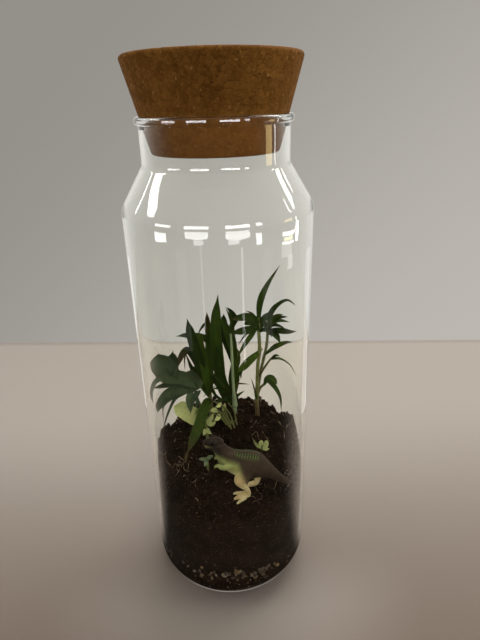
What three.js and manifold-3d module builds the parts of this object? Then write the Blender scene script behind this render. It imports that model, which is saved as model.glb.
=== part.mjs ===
// A planted bottle terrarium: a cork-stoppered carafe with gravel, soil, seedlings and a toy figure.
// Millimetres, +Z up. The origin is the centre of the jar's foot, on the surface that it stands on.
// The front of the planting faces -Y.

import * as THREE from 'three';
import { mergeVertices } from 'three/addons/utils/BufferGeometryUtils.js';
import Module from 'manifold-3d';

const wasm = await Module();
wasm.setup();

// Jar
const JAR_RADIUS = 43;
const WALL = 1.5;
const FLOOR = 1.8;
const FOOT_FILLET = 20;
const PUNT_RADIUS = 17;
const PUNT_HEIGHT = 0.4;
const FOOT_RING = 20;
const SHOULDER_Z = 213.8;
const SHOULDER_FILLET = 9;
const NECK_Z = 231.7;
const NECK_FILLET = 5;
const NECK_RADIUS = 32.2;
const NECK_BORE = 30.6;
const RIM_Z = 251;
const RIM_HEIGHT = 3.4;
const RIM_RADIUS = 33.7;
const JAR_SEGMENTS = 36;

// Cork, a straight taper that seats on the flared lip
const CORK_BOTTOM = 236.1;
const CORK_TOP = 273.4;
const CORK_EDGE = 1.8;
const CORK_TAPER = 0.27;
const SEAT_Z = 246.2;
const GAP = 0.3;
const CORK_AT_SEAT = NECK_BORE - GAP;

// Gravel and soil
const BORE = JAR_RADIUS - WALL;
const GRAVEL_Z = 23;
const PEBBLE = 1.1;
const SOIL_FRONT = 63.5;
const SOIL_RISE = 17.5;
const SLOPE_FROM = -26;
const SLOPE_TO = 22;
const MOUNDS = [
  { x: 8, y: 24, height: 5, across: 13, along: 13 },
  { x: -42, y: -3, height: 9, across: 5, along: 9 },
  { x: -36, y: 21, height: -10, across: 4, along: 5 },
  { x: 40, y: 14, height: 3.5, across: 3, along: 4 },
  { x: 32, y: 25, height: -4, across: 4, along: 6 },
];
const SIDE_RISE = 5;
const CLOD = 2.1;
const FIGURE_SPOT = { x: 6, y: -26, from: 5, to: 14 };
const GRAVEL_SEGMENTS = 36;
const GRAVEL_RINGS = [5, 11, 17, 23, 29, 35, 39.5];
const SOIL_SEGMENTS = 44;
const SOIL_RINGS = [3, 7, 11, 15, 19, 23, 27, 31, 35, 38.5];
const SOIL_UNDER_RINGS = [8, 16, 24, 32];

// Planting
const ROOT_DEPTH = 8;
const HOLE_CLEARANCE = 0.6;
const BLADE = 0.7;
const KEEL = 0.16;
const STALK_SIDES = 6;
const VIEWER = new THREE.Vector3(0, -1, 0.45).normalize();

// Fused bodies: the largest scrap dropped (mm3), and the lengths that tidy their slivers (mm)
const SCRAP = 0.05;
const SHORT_EDGE = 0.04;
const TOUCH = 0.004;
const APART = 0.02;

// Leaf outlines: half-widths from stalk to tip, as shares of the widest
const LANCE = [0.3, 0.85, 1, 0.92, 0.68, 0.36, 0.1];
const STRAP = [0.45, 0.85, 1, 0.97, 0.82, 0.5, 0.12];
const TAPER = [0.4, 0.95, 0.95, 0.7, 0.5, 0.32, 0.15];
const OVAL = [0.15, 0.7, 0.97, 1, 0.85, 0.55, 0.12];
const ROUNDED = [0.12, 0.8, 1, 1, 0.95, 0.72, 0.3];
const SMALL = [0.2, 0.85, 1, 0.65, 0.15];

// Meshes and solids

function mesh(positions, index) {
  const geometry = new THREE.BufferGeometry();
  geometry.setAttribute('position', new THREE.Float32BufferAttribute(positions, 3));
  geometry.setIndex(index);
  return geometry;
}

function toSolid(geometry) {
  const bare = geometry.clone();
  bare.deleteAttribute('normal');
  bare.deleteAttribute('uv');
  const merged = mergeVertices(bare);
  const corners = merged.index.array;
  const kept = [];
  for (let i = 0; i < corners.length; i += 3) {
    const [a, b, c] = [corners[i], corners[i + 1], corners[i + 2]];
    if (a !== b && b !== c && c !== a) kept.push(a, b, c);
  }
  return new wasm.Manifold(new wasm.Mesh({
    numProp: 3,
    vertProperties: new Float32Array(merged.attributes.position.array),
    triVerts: new Uint32Array(kept),
  }));
}

function fromSolid(solid) {
  const { vertProperties, triVerts } = solid.getMesh();
  return mesh(Array.from(vertProperties), Array.from(triVerts));
}

// The main shell alone: hollows sealed by fusing are filled and scraps are dropped, but a whole
// piece left loose is an error.
function outerShell(solid) {
  const [main, ...others] = solid.decompose().sort((a, b) => b.volume() - a.volume());
  if (others.some((shell) => shell.volume() > SCRAP)) throw new Error('a piece is loose');
  return fromSolid(main);
}

// Roots that meet at a shallow angle leave slivers. Edges under SHORT_EDGE are closed up where the
// surface stays one closed sheet, and points of two sheets that only touch are drawn apart.
function withoutSlivers(geometry) {
  const place = geometry.getAttribute('position');
  const points = Array.from({ length: place.count }, (_, i) => (
    new THREE.Vector3().fromBufferAttribute(place, i)
  ));
  const fans = points.map(() => new Set());
  const corners = geometry.index.array;
  for (let i = 0; i < corners.length; i += 3) {
    const face = Array.from(corners.slice(i, i + 3));
    for (const vertex of face) fans[vertex].add(face);
  }
  const around = (vertex) => {
    const near = new Set([...fans[vertex]].flat());
    near.delete(vertex);
    return [...near];
  };

  const closeUp = (vertex) => {
    const near = around(vertex);
    const kept = near.find((other) => (
      points[vertex].distanceTo(points[other]) < SHORT_EDGE
      && around(other).filter((third) => near.includes(third)).length === 2
    ));
    if (kept === undefined) return;
    for (const face of [...fans[vertex]]) {
      if (face.includes(kept)) {
        for (const corner of face) fans[corner].delete(face);
      } else {
        face[face.indexOf(vertex)] = kept;
        fans[kept].add(face);
      }
    }
    fans[vertex].clear();
  };
  points.forEach((_, vertex) => closeUp(vertex));

  const used = fans.flatMap((fan, vertex) => (fan.size ? [vertex] : []));
  for (const vertex of used) {
    const touches = (other) => other !== vertex && points[other].distanceTo(points[vertex]) < TOUCH;
    if (!used.some(touches)) continue;
    const middle = new THREE.Vector3();
    for (const other of around(vertex)) middle.addScaledVector(points[other], 1 / around(vertex).length);
    points[vertex].add(middle.sub(points[vertex]).clampLength(0, APART));
  }
  const faces = new Set(used.flatMap((vertex) => [...fans[vertex]]));
  return mesh(points.flatMap((point) => point.toArray()), [...faces].flat());
}

// Merging close vertices can pinch off another hollow, so the shell is taken again after it.
function onePiece(solid) {
  return withoutSlivers(outerShell(toSolid(outerShell(solid))));
}

function fuse(geometries) {
  return onePiece(geometries.map(toSolid).reduce((whole, next) => whole.add(next)));
}

function cut(geometry, tools) {
  return onePiece(tools.map(toSolid).reduce((rest, tool) => rest.subtract(tool), toSolid(geometry)));
}

// A closed body through rings of equal count. A blade's back is split like its front, so that
// the two faces of a thin bent leaf never cross.
function loft(rings, isBlade = false) {
  const count = rings[0].length;
  const index = [];
  for (let i = 0; i < rings.length - 1; i += 1) {
    for (let j = 0; j < count; j += 1) {
      const a = i * count + j;
      const b = i * count + (j + 1) % count;
      const c = a + count;
      const d = b + count;
      if (isBlade && j >= count / 2) index.push(a, b, c, b, d, c);
      else index.push(a, b, d, a, d, c);
    }
  }
  const last = (rings.length - 1) * count;
  for (let j = 1; j < count - 1; j += 1) {
    index.push(0, j + 1, j, last, last + j, last + j + 1);
  }
  return mesh(rings.flat().flatMap((point) => point.toArray()), index);
}

// A closed body from a lower pole to an upper pole, through rows that give a point for each angle.
function turned(bottom, rows, top, segments) {
  const points = [bottom];
  const index = [];
  for (const row of rows) {
    for (let j = 0; j < segments; j += 1) points.push(row(2 * Math.PI * j / segments));
  }
  points.push(top);
  const at = (i, j) => 1 + i * segments + j % segments;
  for (let j = 0; j < segments; j += 1) {
    index.push(0, at(0, j + 1), at(0, j));
    for (let i = 0; i < rows.length - 1; i += 1) {
      index.push(at(i, j), at(i, j + 1), at(i + 1, j + 1), at(i, j), at(i + 1, j + 1), at(i + 1, j));
    }
    index.push(at(rows.length - 1, j), at(rows.length - 1, j + 1), points.length - 1);
  }
  return mesh(points.flatMap((point) => point.toArray()), index);
}

// Points of a profile whose corners [radius, height, fillet] are rounded by arcs.
function rounded(corners) {
  return corners.flatMap(([r, z, fillet], i) => {
    const corner = new THREE.Vector2(r, z);
    if (!fillet) return [corner];
    const steps = Math.ceil(Math.sqrt(fillet));
    const before = new THREE.Vector2(...corners[i - 1]).sub(corner).normalize();
    const after = new THREE.Vector2(...corners[i + 1]).sub(corner).normalize();
    const half = Math.acos(before.dot(after)) / 2;
    const centre = before.clone().add(after).setLength(fillet / Math.sin(half)).add(corner);
    const start = before.multiplyScalar(fillet / Math.tan(half)).add(corner).sub(centre);
    const end = after.multiplyScalar(fillet / Math.tan(half)).add(corner).sub(centre);
    const turn = Math.atan2(start.cross(end), start.dot(end));
    return Array.from({ length: steps + 1 }, (_, k) => (
      start.clone().rotateAround(new THREE.Vector2(), turn * k / steps).add(centre)
    ));
  });
}

function lathe(profile, segments) {
  return new THREE.LatheGeometry(profile, segments).rotateX(Math.PI / 2);
}

// Jar, cork, gravel and soil

function glassJar() {
  const lip = NECK_BORE + CORK_TAPER * (RIM_Z - SEAT_Z);
  const outside = [
    [0, PUNT_HEIGHT],
    [PUNT_RADIUS, PUNT_HEIGHT, 3],
    [FOOT_RING, 0, 1],
    [JAR_RADIUS, 0, FOOT_FILLET],
    [JAR_RADIUS, SHOULDER_Z, SHOULDER_FILLET],
    [NECK_RADIUS, NECK_Z, NECK_FILLET],
    [NECK_RADIUS, RIM_Z - RIM_HEIGHT],
    [RIM_RADIUS, RIM_Z - RIM_HEIGHT + 0.6, 0.8],
    [RIM_RADIUS, RIM_Z, 1.2],
  ];
  const inside = [
    [lip, RIM_Z, 0.4],
    [NECK_BORE, SEAT_Z],
    [NECK_BORE, NECK_Z, NECK_FILLET + WALL],
    [BORE, SHOULDER_Z, SHOULDER_FILLET - WALL],
    [BORE, FLOOR, FOOT_FILLET - FLOOR],
    [0, FLOOR],
  ];
  return lathe(rounded([...outside, ...inside]), JAR_SEGMENTS);
}

function corkStopper() {
  const radius = (z) => CORK_AT_SEAT + CORK_TAPER * (z - SEAT_Z);
  return lathe(rounded([
    [0, CORK_BOTTOM],
    [radius(CORK_BOTTOM), CORK_BOTTOM, CORK_EDGE],
    [radius(CORK_TOP), CORK_TOP, CORK_EDGE],
    [0, CORK_TOP],
  ]), JAR_SEGMENTS);
}

function smoothstep(from, to, value) {
  const share = THREE.MathUtils.clamp((value - from) / (to - from), 0, 1);
  return share * share * (3 - 2 * share);
}

// Pebbles stand out as rounded bumps, from 0 to PEBBLE high.
function pebbles(u, v) {
  return PEBBLE * Math.abs(Math.sin(0.62 * u + 0.4 * Math.sin(0.5 * v)) * Math.cos(0.58 * v));
}

function gravelLevel(x, y) {
  return GRAVEL_Z + 1.2 * Math.sin(0.11 * x + 1) * Math.cos(0.09 * y);
}

function gravelTop(x, y) {
  return gravelLevel(x, y) + pebbles(x, y);
}

// Clods about 12 mm apart, flattened where the figure stands.
function clods(x, y) {
  const calm = smoothstep(FIGURE_SPOT.from, FIGURE_SPOT.to, Math.hypot(x - FIGURE_SPOT.x, y - FIGURE_SPOT.y));
  return CLOD * calm
    * Math.sin(0.5 * x + 1.3 * Math.sin(0.3 * y) + 1) * Math.cos(0.47 * y + 1.1 * Math.sin(0.26 * x) + 0.5);
}

function soilTop(x, y) {
  const ramp = smoothstep(SLOPE_FROM, SLOPE_TO, y);
  const mounds = MOUNDS.reduce((sum, { x: middleX, y: middleY, height, across, along }) => (
    sum + height * Math.exp(-(((x - middleX) / across) ** 2 + ((y - middleY) / along) ** 2) / 2)
  ), 0);
  const side = SIDE_RISE * (x / BORE) ** 2 * (0.35 + 0.65 * ramp);
  return SOIL_FRONT + SOIL_RISE * ramp + mounds + side + clods(x, y);
}

// The soil has shrunk from the glass at the upper left, by up to 1.3 mm.
function soilRadius(angle, z) {
  const left = Math.max(0, -Math.cos(angle + 0.3));
  return BORE - GAP - 1.3 * left * smoothstep(45, 75, z);
}

function ring(radius, heightAt) {
  return (angle) => {
    const [x, y] = [radius * Math.cos(angle), radius * Math.sin(angle)];
    return new THREE.Vector3(x, y, heightAt(x, y));
  };
}

function gravelLayer() {
  const bend = FOOT_FILLET - FLOOR;
  const wall = (share) => (angle) => {
    const tilt = share * Math.PI / 2;
    const inset = 2 * GAP + 0.8 * pebbles(BORE * angle * 4 / Math.PI, 20 * share);
    const radius = BORE - bend + (bend - inset) * Math.sin(tilt);
    const z = FOOT_FILLET - (bend - inset) * Math.cos(tilt);
    return new THREE.Vector3(radius * Math.cos(angle), radius * Math.sin(angle), z);
  };
  const rows = [
    ring(9, () => FLOOR + GAP),
    ring(18, () => FLOOR + GAP),
    ...[0.05, 0.2, 0.36, 0.52, 0.68, 0.84, 1].map(wall),
    ...GRAVEL_RINGS.slice().reverse().map((radius) => ring(radius, gravelTop)),
  ];
  const low = new THREE.Vector3(0, 0, FLOOR + GAP);
  return turned(low, rows, new THREE.Vector3(0, 0, gravelTop(0, 0)), GRAVEL_SEGMENTS);
}

function soilBody() {
  const under = (x, y) => gravelLevel(x, y) + PEBBLE + GAP;
  const edge = (share) => (angle) => {
    const rim = soilRadius(angle, 100);
    const [x, y] = [rim * Math.cos(angle), rim * Math.sin(angle)];
    const z = THREE.MathUtils.lerp(GRAVEL_Z + 4, soilTop(x, y), share);
    const radius = soilRadius(angle, z);
    return new THREE.Vector3(radius * Math.cos(angle), radius * Math.sin(angle), z);
  };
  const rows = [
    ...SOIL_UNDER_RINGS.map((radius) => ring(radius, under)),
    ...[0, 0.33, 0.66, 1].map(edge),
    ...SOIL_RINGS.slice().reverse().map((radius) => ring(radius, soilTop)),
  ];
  const low = new THREE.Vector3(0, 0, under(0, 0));
  return turned(low, rows, new THREE.Vector3(0, 0, soilTop(0, 0)), SOIL_SEGMENTS);
}

// Plants

const curveThrough = (path) => (
  new THREE.CatmullRomCurve3(path.map((point) => new THREE.Vector3(...point)), false, 'catmullrom')
);

// An upright round stalk, tapering from one radius to the other.
function stalk(fromRadius, toRadius, ...path) {
  const curve = curveThrough(path);
  const steps = path.length;
  const side = new THREE.Vector3(1, 0, 0);
  const rings = Array.from({ length: steps + 1 }, (_, i) => {
    const along = curve.getTangent(i / steps);
    const across = side.clone().addScaledVector(along, -along.dot(side)).normalize();
    const back = along.clone().cross(across);
    const radius = THREE.MathUtils.lerp(fromRadius, toRadius, i / steps);
    return Array.from({ length: STALK_SIDES }, (_, j) => {
      const angle = 2 * Math.PI * j / STALK_SIDES;
      return curve.getPoint(i / steps)
        .addScaledVector(across, radius * Math.cos(angle))
        .addScaledVector(back, radius * Math.sin(angle));
    });
  });
  return loft(rings);
}

// A leaf blade with a keel along its middle, whose upper side looks towards `face`.
function leafFacing(face, outline, width, ...path) {
  const curve = curveThrough(path);
  const rings = outline.map((share, i) => {
    const at = i / (outline.length - 1);
    const along = curve.getTangent(at);
    const across = along.clone().cross(face).normalize();
    const up = across.clone().cross(along).normalize();
    const half = Math.max(share * width / 2, BLADE / 2);
    const point = (sideways, raised) => curve.getPoint(at)
      .addScaledVector(across, sideways * half)
      .addScaledVector(up, raised + Math.abs(sideways) * KEEL * width);
    const [top, under] = [BLADE / 2, -BLADE / 2];
    return [point(-1, top), point(0, top), point(1, top), point(1, under), point(0, under), point(-1, under)];
  });
  return loft(rings, true);
}

const leaf = (outline, width, ...path) => leafFacing(VIEWER, outline, width, ...path);

// The straight foot of a stalk, from its root to just above the soil.
function planted(x, y) {
  return [[x, y, soilTop(x, y) - ROOT_DEPTH], [x, y, soilTop(x, y) + 1]];
}

function palmSeedlingRight() {
  return fuse([
    stalk(1.3, 0.85, ...planted(18, 15), [17.7, 15, 97], [18, 14, 108], [18.4, 14, 121], [19.5, 14, 131],
      [19, 14, 144], [19, 14, 150.5]),
    stalk(0.9, 0.8, [17.8, 15, 95], [18.6, 16, 105], [21, 17, 119], [23.8, 18, 131], [24.5, 18, 142],
      [24.5, 18, 147.5]),
    leaf(LANCE, 3.6, [18.9, 14, 145], [19.8, 13, 159], [23.4, 12, 169], [30, 11, 180]),
    leaf(TAPER, 3, [24.4, 18, 145], [26.5, 16, 153], [30.2, 12, 159], [34, 8, 162], [37.6, 4, 160.5]),
    leaf(LANCE, 3, [24.5, 18, 145], [29.4, 18, 148], [35.4, 14, 150]),
    leaf(LANCE, 2.2, [24.5, 18, 144], [30, 14, 148], [35.6, 9, 149]),
    leaf(LANCE, 3.4, [24.6, 18, 141], [30.3, 12, 143], [35, 8, 144], [38.7, 4, 146]),
    leaf(LANCE, 4, [24.6, 18, 141], [28.4, 14, 139.5], [30.8, 11, 135.7]),
    leaf(LANCE, 3.4, [19, 14, 146], [23, 17, 149], [26.5, 18, 152]),
    leaf(LANCE, 3, [22.6, 17.5, 125.5], [27.7, 12, 133.5], [32.6, 8, 137.7], [36.9, 5, 139.3]),
    leaf(LANCE, 3.6, [18.5, 14, 127], [13.8, 10, 128.5], [9.7, 7, 125.5], [6.3, 5, 123.5]),
    leaf(LANCE, 1.8, [18.5, 14, 127], [13.6, 16, 124], [8.8, 18, 110]),
    stalk(0.65, 0.55, [18.3, 15, 112], [22.6, 11, 122.5], [25.3, 8, 128.6]),
    leaf(LANCE, 1.8, [25, 8, 128], [27.5, 6, 131.2], [29.5, 4, 131.8]),
    leaf(TAPER, 2.2, [25, 8, 128], [29.6, 5, 129.8], [34.7, 3, 127], [38.5, 2, 120.5]),
    stalk(0.8, 0.7, [18, 15, 100], [19.5, 14, 106], [21.7, 12, 110]),
    leaf(LANCE, 4, [21.4, 12.2, 109], [25.6, 8, 113.8], [29.8, 5, 107.7], [30.2, 3, 98]),
    leaf(LANCE, 3.6, [21.4, 12.2, 109], [25.3, 10, 115], [29, 9, 111]),
    leaf(TAPER, 1.6, [17.8, 14.8, 96.5], [16.4, 12, 106], [14.2, 10, 115.6]),
    leaf(STRAP, 4.8, [19, 14, 149.5], [14, 11, 152.5], [9, 8, 153], [5.6, 6, 153.6]),
    leaf(STRAP, 4.8, [19, 14, 147], [14, 11.5, 146], [8.5, 9, 145], [3.9, 7, 145]),
    leaf(LANCE, 2.8, [19, 14, 144.5], [12, 12, 136], [5.5, 10, 126]),
    leaf(LANCE, 1.8, [19, 14.3, 144], [12, 15, 141], [5.4, 14.5, 133]),
    leaf(LANCE, 1.1, [19, 14, 149], [15.5, 15, 152.5], [12, 16, 153.8]),
  ]);
}

function palmSeedlingCentre() {
  return fuse([
    stalk(1.1, 0.6, ...planted(5, 24), [4.4, 24, 100], [4.4, 23, 120], [3.5, 22, 137], [2.8, 22, 145]),
    stalk(1.6, 1.2, [5, 24, 88.5], [4.8, 24, 94], [4.5, 24, 100]),
    leaf(STRAP, 7.2, [4.6, 24, 90], [-1.5, 23, 98], [-3.8, 20.5, 120], [-4.2, 18, 145], [-2.1, 17, 163.3]),
    leaf(LANCE, 3.2, [3.4, 22, 137], [6, 20, 147], [4.4, 18, 152.6], [1.9, 16, 156.4]),
    leaf(LANCE, 3.6, [3.2, 22, 140], [7, 21, 147], [12, 20, 150]),
    leaf(STRAP, 5, [4.4, 23.3, 116.5], [1.6, 22, 132], [0.3, 21, 142], [0.5, 20, 151]),
    leaf(LANCE, 4.4, [4.4, 24, 93], [1, 27, 105], [1.4, 28.5, 118], [3.2, 30, 136]),
    leaf(STRAP, 5.8, [4.4, 24, 93], [-1, 19, 109], [-2.7, 16, 123], [-4.4, 14, 137]),
    leaf(LANCE, 5, [4.6, 24, 91], [-2.5, 29, 104], [-5, 32, 118], [-1.3, 33, 139]),
    leaf(LANCE, 3, [4.6, 24, 92], [6.8, 24.5, 107], [6.4, 24.5, 118], [6.1, 24, 129]),
    stalk(0.6, 0.5, [4.4, 24, 103], [7, 22, 105.5], [13.8, 18.5, 106.3]),
    leaf(SMALL, 1.9, [4.8, 24, 93], [6.5, 20, 98], [10.7, 18, 102.4]),
  ]);
}

function palmSeedlingLeft() {
  return fuse([
    stalk(1.3, 1, ...planted(-9, 19), [-9.3, 19, 94], [-9.5, 19, 101]),
    leaf(STRAP, 7, [-9.5, 19, 98], [-13.5, 17, 111], [-16.5, 14, 128], [-18.4, 12.5, 143], [-18.9, 12, 152.4]),
    leaf(LANCE, 4.2, [-9.3, 19, 99], [-9.2, 23, 118], [-8.8, 25, 136], [-9, 26, 149.4]),
    leaf(SMALL, 2.8, [-8.9, 25, 138], [-11.2, 26, 143.5], [-15.3, 27, 136]),
    leaf(LANCE, 3, [-9.5, 19, 99], [-12.5, 19, 118], [-15.5, 18, 134], [-20, 16, 141], [-25.7, 14, 141.2]),
    leaf(LANCE, 3.8, [-9.5, 19, 99], [-14, 21, 116], [-19, 21, 130.5], [-24.5, 22, 128], [-30, 23, 114]),
    leaf(TAPER, 1.6, [-18.8, 21, 130], [-22.6, 22, 125], [-23.5, 22.5, 115.5]),
    leaf(LANCE, 4.6, [-9.5, 19, 97], [-15, 23, 106], [-19.5, 26, 114], [-23, 27, 125]),
    leaf(STRAP, 6.6, [-9.4, 19, 98], [-11, 16, 112], [-12.8, 15, 131], [-14.5, 16, 141]),
    leaf(LANCE, 5.2, [-9.4, 19, 98], [-9, 26, 111], [-7.5, 29, 127], [-8, 30, 139]),
    leaf(LANCE, 5.6, [-9.2, 19, 95], [-11.5, 12, 101.5], [-14, 3, 95], [-17.6, -2, 90], [-21.5, -6.5, 86],
      [-23.6, -11, 76.8]),
  ]);
}

function greyGreenFrond() {
  return fuse([
    stalk(0.95, 0.8, ...planted(-17, 13), [-17, 13, 98], [-17.4, 12, 107], [-18, 10.5, 114]),
    stalk(0.7, 0.6, [-18, 10.6, 112.5], [-22.5, 5, 117.5], [-28, 1.5, 122]),
    leaf(ROUNDED, 12.8, [-27.2, 2, 121], [-30.8, 0, 128.5], [-32.3, -1.5, 134], [-33.4, -3, 141]),
    leaf(LANCE, 4.6, [-28.5, 1, 123], [-28.3, 0, 133], [-26.2, 0, 140.2]),
    leaf(TAPER, 5, [-18, 10.6, 113], [-24, 5, 120], [-29.4, 2, 123.6], [-35.5, -4, 125.3], [-38.2, -7.5, 121],
      [-38.3, -8, 114.5]),
    leaf(LANCE, 2.4, [-18, 10.7, 112.5], [-26, 7, 115.3], [-37.2, 3, 116.6]),
    leaf(LANCE, 6.2, [-18, 10.7, 112], [-22.5, 5, 114.2], [-27.5, 2, 115], [-33.2, -3, 114.5], [-36.2, -5, 107.5]),
    leaf(TAPER, 2.8, [-17.8, 11.2, 110], [-23, 7, 110.5], [-28.2, 4, 108.4], [-32.3, 1, 101.5], [-36, 0, 91.5]),
    leaf(TAPER, 1.7, [-17.7, 11.4, 109], [-27, 9, 107.5], [-34.3, 10, 102], [-36.8, 10, 97.5], [-37, 10, 89]),
    leaf(LANCE, 5, [-18, 10.7, 112.5], [-19.5, 8, 117], [-22, 6.5, 121], [-26, 6, 124]),
    leaf(LANCE, 3.6, [-17.9, 11, 111], [-20.3, 5, 109], [-20.7, 3, 105], [-19.9, 2, 99.5]),
    leaf(SMALL, 2, [-17.8, 11.1, 110.5], [-16.3, 6, 106], [-13.8, 5, 102]),
  ]);
}

function variegatedCreeper() {
  return fuse([
    stalk(0.9, 0.7, ...planted(-12, 6), [-12.4, 5.4, 88], [-12.9, 4.6, 91.5]),
    leaf(OVAL, 8.8, [-12.4, 5.8, 87.5], [-15.5, 7.6, 92], [-21, 7, 96.7], [-25.6, 5.5, 100.4], [-30, 3, 103.8]),
    leaf(SMALL, 3.6, [-15.2, 7.5, 92], [-15.8, 8.6, 96], [-15.6, 9, 100]),
    leaf(SMALL, 4, [-12.2, 5.8, 86], [-11.5, 3, 89], [-12.8, 1, 92.5]),
    leaf(SMALL, 3.6, [-12.1, 6, 84.5], [-10, 1.5, 86.5], [-7, -1.5, 88]),
    leaf(SMALL, 3.4, [-12.7, 5, 90], [-10.3, 3.8, 91.5], [-7.6, 3, 93.5]),
    leaf(SMALL, 3.4, [-12.1, 6, 84], [-13.5, 2, 85.5], [-15, 0, 88.5]),
  ]);
}

function creeperRunner() {
  return fuse([
    stalk(0.7, 0.6, ...planted(2.4, 12), [-1.5, 12, 87], [-4.8, 12, 91.5], [-6.6, 12, 94]),
    stalk(0.6, 0.5, [1.6, 12, 84], [-0.3, 12.5, 88], [-2.5, 13, 93]),
    leaf(SMALL, 3.8, [-6, 12, 93], [-6.2, 8.5, 94], [-6.8, 5.5, 93]),
    leaf(SMALL, 3.4, [-4.8, 12, 91.4], [-4.4, 9, 93], [-3, 7, 95]),
    leaf(SMALL, 2.6, [-2.4, 13, 92.6], [-1.8, 12, 95.5], [-1.2, 11, 98]),
  ]);
}

function paleSprig() {
  return fuse([
    stalk(0.7, 0.6, ...planted(19, -1), [19, -1.4, 78.5]),
    leaf(LANCE, 2.6, [19, -1.2, 76.8], [16.3, -2, 78.5], [12.8, -1.6, 84]),
    leaf(SMALL, 2.4, [18.9, -1.3, 77.8], [18.5, -3, 80], [18.6, -3.6, 83]),
    leaf(SMALL, 2.8, [19.1, -1.2, 77.3], [21, -3, 79.5], [21.6, -3.6, 83]),
    leaf(SMALL, 2.2, [19, -1.2, 76.4], [21, -3, 76.8], [23, -4, 77.5]),
  ]);
}

function frontSprig() {
  return fuse([
    stalk(0.7, 0.6, ...planted(-12, -8), [-12, -8.4, 77]),
    leaf(SMALL, 2.4, [-12, -8.2, 75.5], [-14, -9.5, 77.5], [-16.6, -10, 77.8]),
    leaf(SMALL, 2.4, [-12, -8.2, 76], [-10.5, -9.5, 78.5], [-8.4, -10, 79.6]),
    leaf(SMALL, 2.4, [-12, -8.2, 75], [-12.8, -10.5, 75.5], [-13.6, -12.5, 74.5]),
  ]);
}

// Toy figure

// A moulded limb or trunk: stations [x, y, z, half-height, half-width] along the middle line.
function moulded(grow, ...stations) {
  const sides = 8;
  const curve = curveThrough(stations);
  const sizes = new THREE.CatmullRomCurve3(
    stations.map(([, , , tall, wide]) => new THREE.Vector3(tall, wide, 0)), false, 'catmullrom');
  const steps = 2 * (stations.length - 1);
  const rings = Array.from({ length: steps + 1 }, (_, i) => {
    const along = curve.getTangent(i / steps);
    const across = new THREE.Vector3(0, 1, 0).addScaledVector(along, -along.y).normalize();
    const up = along.clone().cross(across);
    const size = sizes.getPoint(i / steps);
    const reach = (i === steps ? grow : 0) - (i === 0 ? grow : 0);
    return Array.from({ length: sides }, (_, j) => {
      const angle = 2 * Math.PI * j / sides;
      return curve.getPoint(i / steps)
        .addScaledVector(along, reach)
        .addScaledVector(across, (size.y + grow) * Math.cos(angle))
        .addScaledVector(up, (size.x + grow) * Math.sin(angle));
    });
  });
  return loft(rings);
}

function theropodFigure(grow = 0) {
  return fuse([
    moulded(grow, [-12.5, -26.4, 100.3, 1.5, 1.2], [-10.6, -26.3, 100.8, 2.5, 2], [-8.2, -26, 100.7, 3.1, 2.4],
      [-5.6, -25.7, 100.4, 3.3, 2.6], [-3.4, -25.5, 99.6, 2.3, 1.9]),
    moulded(grow, [-6.6, -25.7, 99.6, 2.7, 2.2], [-4.3, -25.3, 96.5, 3.7, 3], [-2.3, -25, 93, 4.6, 3.7],
      [0.4, -24.8, 89.6, 5.9, 4.7], [4.4, -24.6, 86.9, 7, 5.5], [8.7, -24.4, 85.2, 7.9, 6.2],
      [12.8, -24.2, 83.9, 7.7, 6.1], [17, -23.4, 81.1, 5.5, 4.4], [21.3, -22.6, 77.4, 3.5, 2.8],
      [25.1, -22, 73.7, 2.5, 2], [29, -21.2, 70, 1.8, 1.4], [33.2, -20.4, 66.3, 0.8, 0.7]),
    moulded(grow, [10.5, -27, 84.5, 4.6, 3.4], [7.2, -29, 82, 4.2, 3.1], [5, -30, 79.6, 3, 2.6],
      [6, -29.8, 76.2, 2.1, 2], [8, -29.3, 72.6, 1.6, 1.5], [9.1, -29, 69, 1.5, 1.4],
      [8.9, -28.7, 66.4, 1.3, 1.3]),
    moulded(grow, [9.6, -28.7, 66.3, 1.3, 1.4], [6.6, -28.6, 65.8, 1.4, 1.7], [4, -28.7, 65.2, 1.2, 1.4],
      [1.8, -29.2, 64.9, 0.8, 0.9]),
    moulded(grow, [7, -27.6, 66, 1.3, 1.2], [3.8, -26.6, 66, 1.1, 1.1], [1, -27, 65.4, 0.8, 0.8]),
    moulded(grow, [14, -20.8, 78.5, 3, 2.2], [15, -19, 72.5, 2, 1.7], [14.2, -18.5, 67.4, 1.5, 1.5],
      [11.4, -18.7, 66.2, 1.3, 1.4], [9.4, -19, 65.8, 0.9, 1]),
    moulded(grow, [2.4, -28, 90.2, 2, 1.6], [-1, -29.7, 88.7, 1.8, 1.4], [-3.7, -30.2, 88.7, 1.5, 1.2],
      [-5.5, -30.4, 90.3, 1.2, 1], [-7.1, -30.3, 89.6, 0.9, 0.8]),
    moulded(grow, [-0.4, -22, 88.4, 1.7, 1.4], [-4.6, -21.4, 87.2, 1.3, 1.1], [-7.1, -21.7, 88, 1, 0.9]),
  ]);
}

// Holes and hollows in the soil

const FEET = [
  { x: 18, y: 15, radius: 1.3 },
  { x: 5, y: 24, radius: 1.1 },
  { x: -9, y: 19, radius: 1.3 },
  { x: -17, y: 13, radius: 0.95 },
  { x: -12, y: 6, radius: 0.9 },
  { x: 2.4, y: 12, radius: 0.7 },
  { x: 19, y: -1, radius: 0.7 },
  { x: -12, y: -8, radius: 0.7 },
];

function stalkHole({ x, y, radius }) {
  const bottom = soilTop(x, y) - ROOT_DEPTH - GAP;
  const height = ROOT_DEPTH + 6;
  return new THREE.CylinderGeometry(radius + HOLE_CLEARANCE, radius + HOLE_CLEARANCE, height, 8)
    .rotateX(Math.PI / 2)
    .translate(x, y, bottom + height / 2);
}

function soil() {
  return cut(soilBody(), [...FEET.map(stalkHole), theropodFigure(GAP)]);
}

// Materials and assembly

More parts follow.
